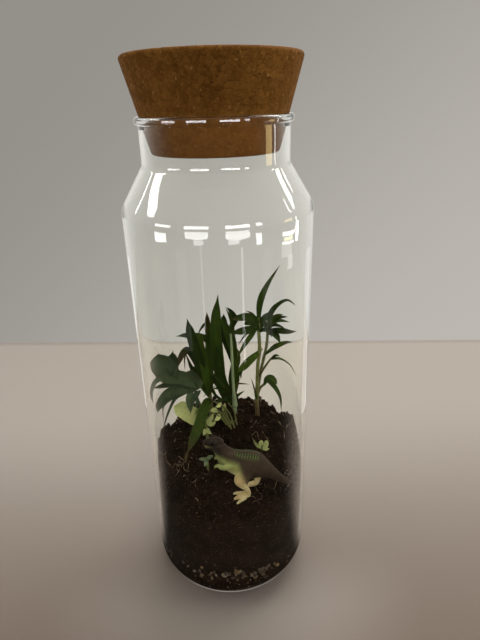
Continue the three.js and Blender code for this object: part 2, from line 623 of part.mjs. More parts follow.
const MATERIALS = {
  glass: { color: 0xe6ecea, roughness: 0.05, metalness: 0, transparent: true, opacity: 0.3 },
  cork: { color: 0x8a5f34, roughness: 0.85, metalness: 0 },
  gravel: { color: 0xb09a72, roughness: 0.8, metalness: 0 },
  soil: { color: 0x2a1c12, roughness: 0.95, metalness: 0 },
  palmLeaf: { color: 0x2a4a16, roughness: 0.5, metalness: 0 },
  greyLeaf: { color: 0x4a5a44, roughness: 0.55, metalness: 0 },
  paleLeaf: { color: 0x9aa055, roughness: 0.5, metalness: 0 },
  plastic: { color: 0x5a5040, roughness: 0.45, metalness: 0 },
};

const PIECES = [
  ['glass_jar', glassJar(), 'glass'],
  ['cork_stopper', corkStopper(), 'cork'],
  ['gravel_layer', gravelLayer(), 'gravel'],
  ['soil', soil(), 'soil'],
  ['palm_seedling_right', palmSeedlingRight(), 'palmLeaf'],
  ['palm_seedling_centre', palmSeedlingCentre(), 'palmLeaf'],
  ['palm_seedling_left', palmSeedlingLeft(), 'palmLeaf'],
  ['grey_green_frond', greyGreenFrond(), 'greyLeaf'],
  ['variegated_creeper', variegatedCreeper(), 'paleLeaf'],
  ['creeper_runner', creeperRunner(), 'paleLeaf'],
  ['pale_sprig', paleSprig(), 'paleLeaf'],
  ['front_sprig', frontSprig(), 'palmLeaf'],
  ['theropod_figure', theropodFigure(), 'plastic'],
];

const terrarium = new THREE.Group();
for (const [name, geometry, material] of PIECES) {
  geometry.computeVertexNormals();
  const piece = new THREE.Mesh(geometry, new THREE.MeshStandardMaterial(MATERIALS[material]));
  piece.name = name;
  terrarium.add(piece);
}

export default terrarium;
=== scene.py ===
"""A planted glass jar with a cork stopper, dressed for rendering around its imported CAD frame.

Sizes and places are millimetres in the frame's axes: +Z up, -Y the front of the planting. The floor and
the lamps, which are no part of the object, are in metres.
"""

import math
import random

import bmesh
import bpy
import numpy as np
from bpy.props import FloatProperty, FloatVectorProperty, IntProperty, PointerProperty
from bpy.types import Operator, Panel, PropertyGroup
from mathutils import Matrix, Vector, noise
from mathutils.kdtree import KDTree


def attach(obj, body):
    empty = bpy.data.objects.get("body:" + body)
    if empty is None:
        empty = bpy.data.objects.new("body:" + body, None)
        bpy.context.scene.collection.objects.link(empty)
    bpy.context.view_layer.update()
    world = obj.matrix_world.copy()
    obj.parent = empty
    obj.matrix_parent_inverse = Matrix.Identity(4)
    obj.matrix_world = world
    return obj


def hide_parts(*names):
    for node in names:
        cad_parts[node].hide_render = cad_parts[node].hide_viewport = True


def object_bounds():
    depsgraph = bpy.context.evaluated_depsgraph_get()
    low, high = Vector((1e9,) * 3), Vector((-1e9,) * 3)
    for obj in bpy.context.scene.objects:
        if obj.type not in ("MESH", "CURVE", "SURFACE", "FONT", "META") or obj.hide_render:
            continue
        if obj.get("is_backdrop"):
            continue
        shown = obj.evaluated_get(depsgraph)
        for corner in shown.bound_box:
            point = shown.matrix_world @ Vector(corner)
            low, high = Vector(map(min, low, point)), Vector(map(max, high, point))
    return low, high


bl_info = {
    "name": "Planted glass jar",
    "version": (1, 0, 0),
    "blender": (4, 5, 0),
    "location": "View3D > Sidebar > Terrarium",
    "description": "Builds a planted, cork-stoppered glass jar piece by piece",
    "category": "Add Mesh",
}

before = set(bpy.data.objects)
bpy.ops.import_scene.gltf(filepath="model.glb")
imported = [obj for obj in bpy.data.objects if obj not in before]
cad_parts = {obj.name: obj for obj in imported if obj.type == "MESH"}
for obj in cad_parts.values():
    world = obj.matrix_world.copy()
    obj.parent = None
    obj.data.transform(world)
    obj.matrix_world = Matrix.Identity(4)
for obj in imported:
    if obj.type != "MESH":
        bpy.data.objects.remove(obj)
CAD_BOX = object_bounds()
MM = 0.001

# Jar, cork and ground, as in the CAD model

JAR_RADIUS = 43
WALL = 1.5
FLOOR = 1.8
FOOT_FILLET = 20
PUNT_HEIGHT = 0.4
SHOULDER_Z = 213.8
SHOULDER_FILLET = 9
NECK_Z = 231.7
NECK_FILLET = 5
NECK_RADIUS = 32.2
NECK_BORE = 30.6
RIM_Z = 251
RIM_HEIGHT = 3.4
RIM_RADIUS = 33.7
CORK_BOTTOM = 236.1
CORK_TOP = 273.4
CORK_TAPER = 0.27
SEAT_Z = 246.2
GAP = 0.3
BORE = JAR_RADIUS - WALL
BEND = FOOT_FILLET - FLOOR
GRAVEL_Z = 23

# The soil's height in front, its rise towards the back, where along y it rises, and its rise to the sides
SOIL_FRONT = 63.5
SOIL_RISE = 17.5
SLOPE = (-26, 22)
SIDE_RISE = 5
# A height at the heap's rim, where the soil stands clear of the glass at the left
SOIL_RIM = 90
# Where the figure stands, and how far round it the soil is calmer
STANDING = (6, -26)
CALM_REACH = 14
# Mounds and hollows of the soil: middle (x, y), height, and spread along x and y
MOUNDS = [
    (8, 24, 5, 13, 13), (-42, -3, 9, 5, 9), (-36, 21, -10, 4, 5), (40, 14, 3.5, 3, 4),
    (32, 25, -4, 4, 6),
]


# Fineness of the meshes: sides of what is turned, and the longest step along a profile

CORK_SIDES = 200
GRAVEL_SIDES = 120
SOIL_SIDES = 180
JAR_STEP = 8
CORK_STEP = 0.7
ARC_STEP = 0.5


# Numbers and curves

def linear(*srgb):
    """A colour given as sRGB numbers up to 255, as Blender's linear values."""
    shares = [value / 255 for value in srgb]
    return tuple(
        share / 12.92 if share <= 0.04045 else ((share + 0.055) / 1.055) ** 2.4 for share in shares
    )


def smoothstep(start, end, value):
    share = min(max((value - start) / (end - start), 0), 1)
    return share * share * (3 - 2 * share)


def between(low, high, share):
    return low + (high - low) * share


def around(radius, angle):
    """The x and y at a radius and an angle round the jar's axis."""
    return radius * math.cos(angle), radius * math.sin(angle)


def turns(count):
    """The angles of count even steps round a full turn."""
    return [2 * math.pi * j / count for j in range(count)]


def curve_point(path, share):
    """A point on the smooth curve through the points of path; share runs from 0 to 1."""
    last = len(path) - 1
    spot = min(max(share, 0), 1) * last
    i = min(int(spot), last - 1)
    t = spot - i
    here, there = Vector(path[i]), Vector(path[i + 1])
    before = Vector(path[i - 1]) if i else 2 * here - there
    after = Vector(path[i + 2]) if i + 2 <= last else 2 * there - here
    leave, arrive = (there - before) / 2, (after - here) / 2
    return (
        (2 * t**3 - 3 * t**2 + 1) * here + (t**3 - 2 * t**2 + t) * leave
        + (3 * t**2 - 2 * t**3) * there + (t**3 - t**2) * arrive
    )


def curve_direction(path, share):
    """The way that the curve runs at share."""
    ahead, behind = min(share + 1e-3, 1), max(share - 1e-3, 0)
    return (curve_point(path, ahead) - curve_point(path, behind)).normalized()


def curve_value(values, share):
    """A smooth value through evenly spaced values."""
    return curve_point([(value, 0, 0) for value in values], share)[0]


def soil_top(x, y):
    """Height of the soil's surface, as in the CAD model."""
    ramp = smoothstep(*SLOPE, y)
    mounds = sum(
        height * math.exp(-(((x - middle_x) / across) ** 2 + ((y - middle_y) / along) ** 2) / 2)
        for middle_x, middle_y, height, across, along in MOUNDS
    )
    side = SIDE_RISE * (x / BORE) ** 2 * (0.35 + 0.65 * ramp)
    return SOIL_FRONT + SOIL_RISE * ramp + mounds + side + clods(x, y)


def from_figure(x, y):
    """How far a place on the soil is from where the figure stands."""
    return math.hypot(x - STANDING[0], y - STANDING[1])


def calm(x, y):
    """0 where the figure stands, 1 away from it."""
    return smoothstep(5, CALM_REACH, from_figure(x, y))


def clods(x, y):
    """Clods about 12 mm apart, as in the CAD model."""
    wave = math.sin(0.5 * x + 1.3 * math.sin(0.3 * y) + 1)
    return 2.1 * calm(x, y) * wave * math.cos(0.47 * y + 1.1 * math.sin(0.26 * x) + 0.5)


def soil_noise(x, y, scale, layer):
    """Noise over the ground; each layer is another slice of it."""
    return noise.noise(Vector((x * scale, y * scale, layer)))


def crumbly_top(x, y):
    """The soil's surface with its crumbs and small hollows, smoother where the figure stands."""
    lumps = abs(soil_noise(x, y, 0.33, 9)) - 0.16
    crumbs = abs(soil_noise(x, y, 0.8, 27)) - 0.16
    lift = -4.2 * lumps - 2.6 * crumbs + 0.5 * soil_noise(x, y, 1.9, 41)
    # Soil drifted against the figure's feet
    drift = 1.5 * math.exp(-((x - 5) ** 2 + (y + 29) ** 2) / 60)
    return soil_top(x, y) + drift + lift * between(0.25, 1, calm(x, y))


def soil_radius(angle, z):
    """How far out the soil reaches: to the glass, except at the upper left, where it has shrunk."""
    left = max(0, -math.cos(angle + 0.3))
    return BORE - 0.1 - 1.5 * left * smoothstep(45, 75, z)


# Meshes

def piece(name, mesh, nodes, finishes, sharp_over=None):
    """Links a mesh as a piece that stands for CAD nodes; sharp_over is in degrees."""
    made = bpy.data.objects.new(name, mesh)
    bpy.context.collection.objects.link(made)
    mesh.polygons.foreach_set("use_smooth", [True] * len(mesh.polygons))
    if sharp_over:
        mesh.set_sharp_from_angle(angle=math.radians(sharp_over))
    for finish in finishes:
        mesh.materials.append(finish)
    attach(made, "root")
    if nodes:
        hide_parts(*nodes)
    return made


def mesh_of(name, points, faces, marks=None, looks=None):
    """A mesh in metres from points in millimetres.

    marks are numbers for each point, by name, and looks is the number of each face's finish.
    """
    mesh = bpy.data.meshes.new(name)
    mesh.from_pydata((np.asarray(points, float) * MM).tolist(), [], faces)
    for mark, values in (marks or {}).items():
        layer = mesh.attributes.new(mark, "FLOAT", "POINT")
        layer.data.foreach_set("value", np.asarray(values, np.float32))
    if looks is not None:
        mesh.polygons.foreach_set("material_index", looks)
    mesh.update()
    return mesh


def rounded(corners):
    """Points of a profile of (radius, height[, fillet]) corners, with the fillets as arcs."""
    points = []
    for i, (radius, height, *fillet) in enumerate(corners):
        corner = Vector((radius, height))
        if not fillet:
            points.append(corner)
            continue
        before = (Vector(corners[i - 1][:2]) - corner).normalized()
        after = (Vector(corners[i + 1][:2]) - corner).normalized()
        half = before.angle(after) / 2
        centre = corner + (before + after).normalized() * (fillet[0] / math.sin(half))
        start = corner + before * (fillet[0] / math.tan(half)) - centre
        end = corner + after * (fillet[0] / math.tan(half)) - centre
        turn = math.atan2(start.x * end.y - start.y * end.x, start.dot(end))
        steps = max(4, math.ceil(abs(turn) * fillet[0] / ARC_STEP))
        for k in range(steps + 1):
            points.append(centre + Matrix.Rotation(turn * k / steps, 2) @ start)
    return points


def filled_in(profile, step):
    """The same profile with points added, so that no stretch is longer than step."""
    points = [profile[0]]
    for start, end in zip(profile, profile[1:]):
        count = max(1, math.ceil((end - start).length / step))
        points += [start.lerp(end, (k + 1) / count) for k in range(count)]
    return points


def lathe(name, profile, segments, moved=lambda point: point):
    """A closed turned mesh from a profile that starts and ends on the axis."""
    points = [moved(Vector((0, 0, profile[0].y)))]
    for radius, height in profile[1:-1]:
        points += [moved(Vector((*around(radius, angle), height))) for angle in turns(segments)]
    points.append(moved(Vector((0, 0, profile[-1].y))))
    return mesh_of(name, points, turned_faces(len(profile) - 2, segments))


def turned_faces(rows, segments):
    """Faces of rings between two poles; the first point and the last are the poles."""
    def at(i, j):
        return 1 + i * segments + j % segments
    last = 1 + rows * segments
    faces = []
    for j in range(segments):
        faces.append((0, at(0, j + 1), at(0, j)))
        faces += [(at(i, j), at(i, j + 1), at(i + 1, j + 1), at(i + 1, j)) for i in range(rows - 1)]
        faces.append((at(rows - 1, j), at(rows - 1, j + 1), last))
    return faces


def tube_faces(start, rings, sides):
    """Faces of a closed body through rings of points, the first of them numbered start."""
    faces = []
    for i in range(rings - 1):
        for j in range(sides):
            a, b = start + i * sides + j, start + i * sides + (j + 1) % sides
            faces.append((a, b, b + sides, a + sides))
    last = start + (rings - 1) * sides
    return faces + [tuple(range(start, start + sides))[::-1], tuple(range(last, last + sides))]


def grains(name, spots, detail, roughness, rng):
    """Many small rough grains in one mesh. A spot is (x, y, z, size, flatness)."""
    template = bmesh.new()
    bmesh.ops.create_icosphere(template, subdivisions=detail, radius=1)
    shape = np.array([vertex.co for vertex in template.verts])
    corners = np.array([[vertex.index for vertex in face.verts] for face in template.faces])
    template.free()
    spots = np.asarray(spots, float)
    count = len(spots)
    axes = np.linalg.qr(rng.normal(size=(count, 3, 3)))[0]
    stretch = rng.uniform(0.62, 1.0, (count, 1, 3))
    stretch[:, :, 2] *= spots[:, None, 4]
    waves = rng.normal(size=(count, 4, 3)) * 2.2
    phases = rng.uniform(0, 2 * math.pi, (count, 4, 1))
    bumps = np.sin(waves @ shape.T[None] + phases).sum(axis=1)[:, :, None]
    bumps = 1 + roughness * (bumps * 0.5 + rng.uniform(-0.5, 0.5, (count, len(shape), 1)))
    local = shape[None] * bumps * stretch * spots[:, None, 3:4] / 2
    points = np.einsum("nvi,nij->nvj", local, axes) + spots[:, None, :3]
    faces = corners[None] + (np.arange(count) * len(shape))[:, None, None]
    tone = np.repeat(rng.uniform(0, 1, count), len(shape))
    kind = np.repeat(rng.uniform(0, 1, count), len(shape))
    return mesh_of(
        name, points.reshape(-1, 3), faces.reshape(-1, 3).tolist(), {"tone": tone, "kind": kind}
    )


# Shader maths

class Value:
    """A shader socket in a Python expression: each operator adds the Math node that works it out."""

    def __init__(self, finish, socket):
        self.finish = finish
        self.socket = socket

    def maths(self, operation, *values):
        inputs = dict(enumerate((self, *values)))
        return self.finish.add("ShaderNodeMath", {"operation": operation}, inputs)

    def __add__(self, other):
        return self.maths("ADD", other)

    __radd__ = __add__

    def __sub__(self, other):
        return self.maths("SUBTRACT", other)

    def __rsub__(self, other):
        return (self * -1) + other

    def __mul__(self, other):
        return self.maths("MULTIPLY", other)

    __rmul__ = __mul__

    def __truediv__(self, other):
        return self.maths("DIVIDE", other)

    def __abs__(self):
        return self.maths("ABSOLUTE")

    def sine(self):
        return self.maths("SINE")

    def ramp(self, start, end):
        """0 at start and 1 at end, with a smooth rise between them."""
        settings = {"interpolation_type": "SMOOTHSTEP"}
        inputs = {"Value": self, "From Min": start, "From Max": end}
        return self.finish.add("ShaderNodeMapRange", settings, inputs)


class Finish:
    """The nodes of a material or a world, built from expressions."""

    def __init__(self, name, owner=None):
        self.owner = owner or bpy.data.materials.new(name)
        self.owner.use_nodes = True
        self.tree = self.owner.node_tree
        self.tree.nodes.clear()
        self.place = self.add("ShaderNodeTexCoord", output="Generated" if owner else "Object")

    def add(self, kind, settings=None, inputs=None, output=0):
        """Adds a node: its settings come first, then the values or links of its sockets."""
        made = self.tree.nodes.new(kind)
        for name, value in (settings or {}).items():
            setattr(made, name, value)
        for name, value in (inputs or {}).items():
            if isinstance(value, Value):
                self.tree.links.new(value.socket, made.inputs[name])
            else:
                made.inputs[name].default_value = value
        return Value(self, made.outputs[output]) if output is not None else None

    def vector(self, operation, inputs, output=0):
        return self.add("ShaderNodeVectorMath", {"operation": operation}, inputs, output)

    def mark(self, name):
        return self.add("ShaderNodeAttribute", {"attribute_name": name}, output="Fac")

    def noise(self, scale, detail=3, roughness=0.55, place=None):
        inputs = {
            "Vector": place or self.place, "Scale": scale, "Detail": detail, "Roughness": roughness,
        }
        return self.add("ShaderNodeTexNoise", None, inputs)

    def cells(self, scale, output="Distance", feature="F1", place=None):
        inputs = {"Vector": place or self.place, "Scale": scale}
        return self.add("ShaderNodeTexVoronoi", {"feature": feature}, inputs, output)

    def cell_tone(self, scale, place=None):
        """A number from 0 to 1 for each cell."""
        colour = self.cells(scale, "Color", place=place)
        return self.add("ShaderNodeSeparateColor", None, {"Color": colour}, "Red")

    def shifted(self, scale, reach):
        """Object coordinates pushed about by noise, up to reach metres, so that cells grow uneven."""
        push = self.add("ShaderNodeTexNoise", None, {"Vector": self.place, "Scale": scale}, "Color")
        return self.vector("MULTIPLY_ADD", {0: push, 1: (reach, reach, reach), 2: self.place})

    def stretched(self, x, y, z):
        """Object coordinates stretched along the axes."""
        return self.vector("MULTIPLY", {0: self.place, 1: (x, y, z)})

    def mix(self, share, first, second):
        """A colour between two colours."""
        inputs = {0: share, 6: self.opaque(first), 7: self.opaque(second)}
        return self.add("ShaderNodeMix", {"data_type": "RGBA"}, inputs, 2)

    def opaque(self, tone):
        """A colour from the settings with its alpha, or the socket of a colour as it is."""
        return tone if isinstance(tone, Value) else (*tone, 1)

    def lifted(self, tone, factor):
        """A colour that is brighter to rays that have passed through glass."""
        through = self.path("Transmission Depth").maths("MINIMUM", 1)
        return self.vector("SCALE", {0: tone, "Scale": 1 + through * (factor - 1)})

    def bump(self, height, strength, distance):
        inputs = {"Height": height, "Strength": strength, "Distance": distance}
        return self.add("ShaderNodeBump", None, inputs, "Normal")

    def principled(self, **inputs):
        named = {name.replace("_", " "): value for name, value in inputs.items()}
        named["Base Color"] = self.opaque(named["Base Color"])
        return self.add("ShaderNodeBsdfPrincipled", None, named)

    def either(self, share, first, second):
        """The first surface, or the second where share is 1."""
        return self.add("ShaderNodeMixShader", None, {0: share, 1: first, 2: second})

    def axis(self, name):
        """One coordinate of a place."""
        return self.add("ShaderNodeSeparateXYZ", None, {"Vector": self.place}, name)

    def path(self, name):
        """What the light path says of this ray, such as Is Camera Ray."""
        return self.add("ShaderNodeLightPath", output=name)

    def done(self, surface, kind="Material"):
        self.add(f"ShaderNodeOutput{kind}", None, {"Surface": surface}, output=None)
        return self.owner


# Settings that a user would change

def colour(name, description, *srgb):
    """A colour setting, its default given as sRGB numbers up to 255."""
    return FloatVectorProperty(
        name=name, description=description, subtype="COLOR", size=3, min=0, max=1,
        default=linear(*srgb),
    )


def amount(name, description, default, least, most):
    """A setting for how many of something are made."""
    return IntProperty(name=name, description=description, default=default, min=least, max=most)


def power(name, description, default, most=60):
    """A setting for the power of lamps, in watts."""
    return FloatProperty(
        name=name, description=description, default=default, min=0, max=most,
        subtype="POWER", unit="POWER",
    )


class JarSettings(PropertyGroup):
    """The glass."""

    tint: colour("Glass tint", "Colour that the glass gives to what is seen through it", 250, 252, 250)
    roughness: FloatProperty(
        name="Polish", description="Roughness of the glass", default=0.012, min=0, max=0.3,
        subtype="FACTOR",
    )
    segments: amount("Sides", "Sides of the turned glass", 144, 36, 256)


class CorkSettings(PropertyGroup):
    """The pressed cork."""

    deep: colour("Dark granules", "Darker cork granules", 104, 67, 23)
    light: colour("Light granules", "Lighter cork granules", 142, 97, 43)
    # Also the colour of the painted shade at the cork's top edge and below the rim
    bark: colour("Bark specks", "Dark bits of bark between the granules", 82, 46, 14)
    fleck: colour("Pale flecks", "Small pale granules", 206, 156, 92)
    relief: FloatProperty(
        name="Relief", description="Depth of the pits in the cork's skin", default=0.0002,
        min=0, max=0.001, subtype="DISTANCE", unit="LENGTH",
    )


class GroundSettings(PropertyGroup):
    """Soil and gravel."""

    deep: colour("Damp soil", "Darkest soil", 20, 11, 4)
    dry: colour("Dry crumbs", "Lighter soil on the crumbs", 43, 30, 18)
    grit: colour("Grit in the soil", "Tiny pale bits in the soil", 150, 126, 96)
    root: colour("Rootlets", "Fine pale roots on the soil", 150, 128, 100)
    pale_stone: colour("Pale stones", "Pale gravel stones", 120, 108, 88)
    tan_stone: colour("Tan stones", "Tan gravel stones", 112, 84, 46)
    dark_stone: colour("Dark stones", "Dark gravel stones", 62, 48, 34)
    # Painted light: the lighter colour of the lowest stones and siftings
    lit_stone: colour("Lowest stones", "Stones at the bottom of the gravel", 176, 142, 92)
    crumbs: amount("Crumbs", "Loose crumbs on the soil", 3600, 0, 6000)
    rim_clods: amount("Clods at the rim", "Clods round the rim of the soil", 130, 0, 300)
    # Partly grit, partly painted highlights that stand in for glints on the moist soil
    specks: amount("Specks", "Tiny pale bits on the soil and along the glass", 700, 0, 2000)
    rootlets: amount("Rootlets", "Fine roots that curl over the soil", 90, 0, 300)
    stones: amount("Stones", "Stones in the gravel that show", 1500, 0, 2200)


class LeafSettings(PropertyGroup):
    """Leaves and stalks."""

    deep: colour("Dark green", "Deep green of the palm leaves", 20, 32, 3)
    fresh: colour("Fresh green", "Lighter green of the palm leaves", 50, 66, 9)
    grey_deep: colour("Grey green", "Darker tone of the grey-green frond", 36, 46, 24)
    grey_fresh: colour("Light grey green", "Lighter tone of the grey-green frond", 64, 74, 48)
    cream: colour("Cream", "Pale ground of the variegated leaves", 170, 172, 110)
    speck: colour("Specks", "Green specks of the variegated leaves", 104, 132, 46)
    dry: colour("Dry brown", "Brown of dry tips", 72, 58, 34)
    stem_low: colour("Stem foot", "Brown foot of the stems", 74, 52, 34)
    stem_high: colour("Stem", "Olive green of the stems", 100, 100, 54)
    pale_stem: colour("Pale stem", "Pale green of the young stem", 150, 162, 118)


class FigureSettings(PropertyGroup):
    """The paint of the moulded figure."""

    back: colour("Back", "Dark brown of the back and tail", 43, 31, 20)
    worn: colour("Worn back", "Lighter brown where the relief of the back catches wear", 65, 50, 35)
    belly: colour("Belly", "Cream green of the throat and belly", 136, 130, 80)
    legs: colour("Legs", "Cream of the legs and feet", 208, 186, 142)
    ochre: colour("Ochre", "Warm shading of the legs", 168, 128, 70)
    shade: colour("Dark back", "Darkest brown, on the head and the ridge", 30, 23, 15)
    stripe: colour("Flecks", "Green flecks along the back", 96, 128, 54)
    eye: colour("Eyes", "Dark glossy eyes", 14, 11, 9)


class StageSettings(PropertyGroup):
    """Floor and lights, which are no part of the object."""

    floor: colour("Floor", "Pale floor behind the jar", 146, 138, 129)
    # Painted shade: the floor's colour darkens towards the front
    shaded_floor: colour("Front of the floor", "Dimmer floor in front of the jar", 104, 91, 81)
    surround: colour("Surround", "Pale grey around the floor, at the upper left", 148, 144, 138)
    surround_light: colour("Lighter surround", "Lighter grey at the lower right", 188, 183, 177)
    glow: FloatProperty(
        name="Glow of the glass", description="How much brighter the surround is seen through the glass",
        default=1.42, min=1, max=2,
    )
    bright: colour("Bright side", "Bright side of the room, behind and above the jar", 232, 229, 223)
    dim: colour("Dim side", "Dark side of the room, in front of the jar", 40, 38, 36)
    key: power("Key light", "Power of the large soft lamp", 9)
    fill: power("Side light", "Power of the side lamps", 1.5)
    front: power("Front light", "Power of the lamp in front, which the glass doesn't mirror", 4)
    glint: power("Glints", "Power of the narrow lamps that draw the glints on the glass", 1, 10)


# Glass, cork and ground

def glass_finish(look):
    """Clear glass that lets the lamps' light straight through to what is behind it."""
    finish = Finish("clear_glass")
    glass = finish.principled(
        Base_Color=look.tint, Roughness=look.roughness, IOR=1.46, Transmission_Weight=1.0,
    )
    clear = finish.add("ShaderNodeBsdfTransparent")
    return finish.done(finish.either(finish.path("Is Shadow Ray"), glass, clear))


def cork_finish(look):
    """Pressed cork: uneven granules with seams between them, bits of bark and pale flecks, with painted
    shade at the top edge and inside the neck.
    """
    finish = Finish("pressed_cork")
    granules = 430
    uneven = finish.shifted(420, 0.0016)
    granule = finish.cell_tone(granules, uneven)
    small = finish.cell_tone(1100, uneven)
    tone = granule * 0.3 + small * 0.26 + finish.noise(160, 4) * 0.6 + finish.noise(2400, 2) * 0.3
    ground = finish.mix((tone - 0.22).ramp(0.1, 0.95), look.deep, look.light)
    seam = finish.cells(granules, feature="DISTANCE_TO_EDGE", place=uneven).ramp(0.07, 0.0)
    ground = finish.mix(seam * 0.15, ground, look.bark)
    bark = finish.noise(780, 2, place=uneven).ramp(0.62, 0.69)
    bark = bark * finish.cell_tone(240).ramp(0.3, 0.6)
    ground = finish.mix(bark * 0.7, ground, look.bark)
    pale = small.ramp(0.95, 0.98) * finish.cell_tone(300).ramp(0.5, 0.8)
    ground = finish.mix(pale * 0.32, ground, look.fleck)
    # Painted shade: browner at the top edge, and darker below the rim, where the neck holds it
    z = finish.axis("Z") / MM
    ground = finish.mix(z.ramp(CORK_TOP - 2.5, CORK_TOP) * 0.35, ground, look.bark)
    ground = finish.mix(z.ramp(RIM_Z + 1, RIM_Z - 1.5) * 0.6, ground, look.bark)
    pits = finish.noise(900, 3) * 0.5 - seam * 0.6 - bark * 0.7
    return finish.done(finish.principled(
        Base_Color=ground, Roughness=0.86, Specular_IOR_Level=0.08,
        Normal=finish.bump(pits, 0.7, 0.0004),
    ))


def soil_finish(look, name="potting_soil", bottom_light=0):
    """Soil; the last argument is how much painted light brightens the siftings at the bottom of the foot."""
    finish = Finish(name)
    clump = finish.noise(90, 4, 0.6)
    fine = finish.noise(850, 4, 0.7)
    ground = finish.mix((clump * 0.55 + fine * 0.6).ramp(0.42, 0.86), look.deep, look.dry)
    grit = finish.noise(2100, 1).ramp(0.69, 0.74) * finish.noise(240, 1).ramp(0.4, 0.6)
    ground = finish.mix(grit, ground, look.grit)
    # Painted light: the siftings at the bottom of the foot are lighter, as if lit through the glass
    if bottom_light:
        low = (finish.axis("Z") / MM).ramp(11, 2) * fine.ramp(0.3, 0.7)
        ground = finish.mix(low * bottom_light, ground, look.lit_stone)
    return finish.done(finish.principled(
        Base_Color=ground, Roughness=0.95, Specular_IOR_Level=0.04,
        Normal=finish.bump(fine + clump * 0.5, 0.9, 0.0009),
    ))


def root_finish(look):
    """Pale rootlets with brown stretches."""
    finish = Finish("rootlets")
    ground = finish.mix(finish.noise(400, 2).ramp(0.35, 0.65), look.dry, look.root)
    return finish.done(finish.principled(Base_Color=ground, Roughness=0.7, Specular_IOR_Level=0.2))


def stone_finish(look):
    """Dark, tan and pale stones by their kind, with painted light that makes them lighter and warmer at the
    bottom of the foot.
    """
    finish = Finish("gravel_stones")
    tone, kind = finish.mark("tone"), finish.mark("kind")
    stone = finish.mix(kind.ramp(0.45, 0.65), look.dark_stone, look.tan_stone)
    stone = finish.mix(kind.ramp(0.8, 0.9), stone, look.pale_stone)
    # Painted light at the bottom of the foot
    low = (finish.axis("Z") / MM).ramp(12, 2)
    stone = finish.mix(low * kind.ramp(0.2, 0.6) * 0.7, stone, look.lit_stone)
    shade = finish.noise(1400, 3) * 0.5 + tone * 0.45
    stone = finish.mix(shade.ramp(0.75, 0.2) * 0.5, stone, look.deep)
    return finish.done(finish.principled(
        Base_Color=stone, Roughness=0.6, Specular_IOR_Level=0.4,
        Normal=finish.bump(finish.noise(2600, 3), 0.5, 0.0002),
    ))


def mirrors():
    """The collection of what the glint lamps light, which is the glass alone."""
    return bpy.data.collections.get("mirrors") or bpy.data.collections.new("mirrors")


def fine_jar_profile():
    """The jar's section: up the outside from the punt, over the rim and down the inside to the floor."""
    lip = NECK_BORE + CORK_TAPER * (RIM_Z - SEAT_Z)
    return rounded([
        (0, PUNT_HEIGHT),
        (17, PUNT_HEIGHT, 3),
        (20, 0, 1),
        (JAR_RADIUS, 0, FOOT_FILLET),
        (JAR_RADIUS, SHOULDER_Z, SHOULDER_FILLET),
        (NECK_RADIUS, NECK_Z, NECK_FILLET),
        (NECK_RADIUS, RIM_Z - RIM_HEIGHT, 0.3),
        (RIM_RADIUS, RIM_Z - RIM_HEIGHT + 0.6, 0.8),
        (RIM_RADIUS, RIM_Z, 1.2),
        (lip, RIM_Z, 0.4),
        (NECK_BORE, SEAT_Z, 1),
        (NECK_BORE, NECK_Z, NECK_FILLET + WALL),
        (BORE, SHOULDER_Z, SHOULDER_FILLET - WALL),
        (BORE, FLOOR, BEND),
        (0, FLOOR),
    ])


class TERRARIUM_OT_jar(Operator):
    """Turns the glass jar: rounded foot, sloping shoulder, short neck and beaded rim"""

    bl_idname = "terrarium.jar"
    bl_label = "Glass jar"

    def execute(self, context):
        look = context.scene.terrarium_jar
        mesh = lathe("glass_carafe", filled_in(fine_jar_profile(), JAR_STEP), look.segments)
        carafe = piece("glass_carafe", mesh, ["glass_jar"], [glass_finish(look)])
        mirrors().objects.link(carafe)
        return {"FINISHED"}


class TERRARIUM_OT_cork(Operator):
    """Turns the tapered stopper and pits its skin"""

    bl_idname = "terrarium.cork"
    bl_label = "Cork stopper"

    def execute(self, context):
        look = context.scene.terrarium_cork
        seat = NECK_BORE - GAP
        low, high = (seat + CORK_TAPER * (z - SEAT_Z) for z in (CORK_BOTTOM, CORK_TOP))
        profile = filled_in(rounded([
            (0, CORK_BOTTOM), (low, CORK_BOTTOM, 1.3), (high, CORK_TOP, 1.5), (0, CORK_TOP),
        ]), CORK_STEP)
        middle = Vector((0, 0, (CORK_BOTTOM + CORK_TOP) / 2))

        def pitted(point):
            pit = max(0, noise.noise(point * 0.9) - 0.15) + 0.4 * max(0, noise.noise(point * 2.1))
            return point + (middle - point).normalized() * pit * look.relief / MM

        mesh = lathe("cork_plug", profile, CORK_SIDES, pitted)
        piece("cork_plug", mesh, ["cork_stopper"], [cork_finish(look)])
        return {"FINISHED"}


# Where along the foot's curve the gravel leaves the glass
GRAVEL_RUN = (27, 31)


def foot_spot(angle, run, inset):
    """A place inset from the inside of the jar's foot; run is the length up from the flat floor."""
    turn = min(run / BEND, math.pi / 2)
    radius = BORE - BEND + (BEND - inset) * math.sin(turn)
    z = FOOT_FILLET - (BEND - inset) * math.cos(turn) + max(0, run - BEND * math.pi / 2)
    return Vector((*around(radius, angle), z))


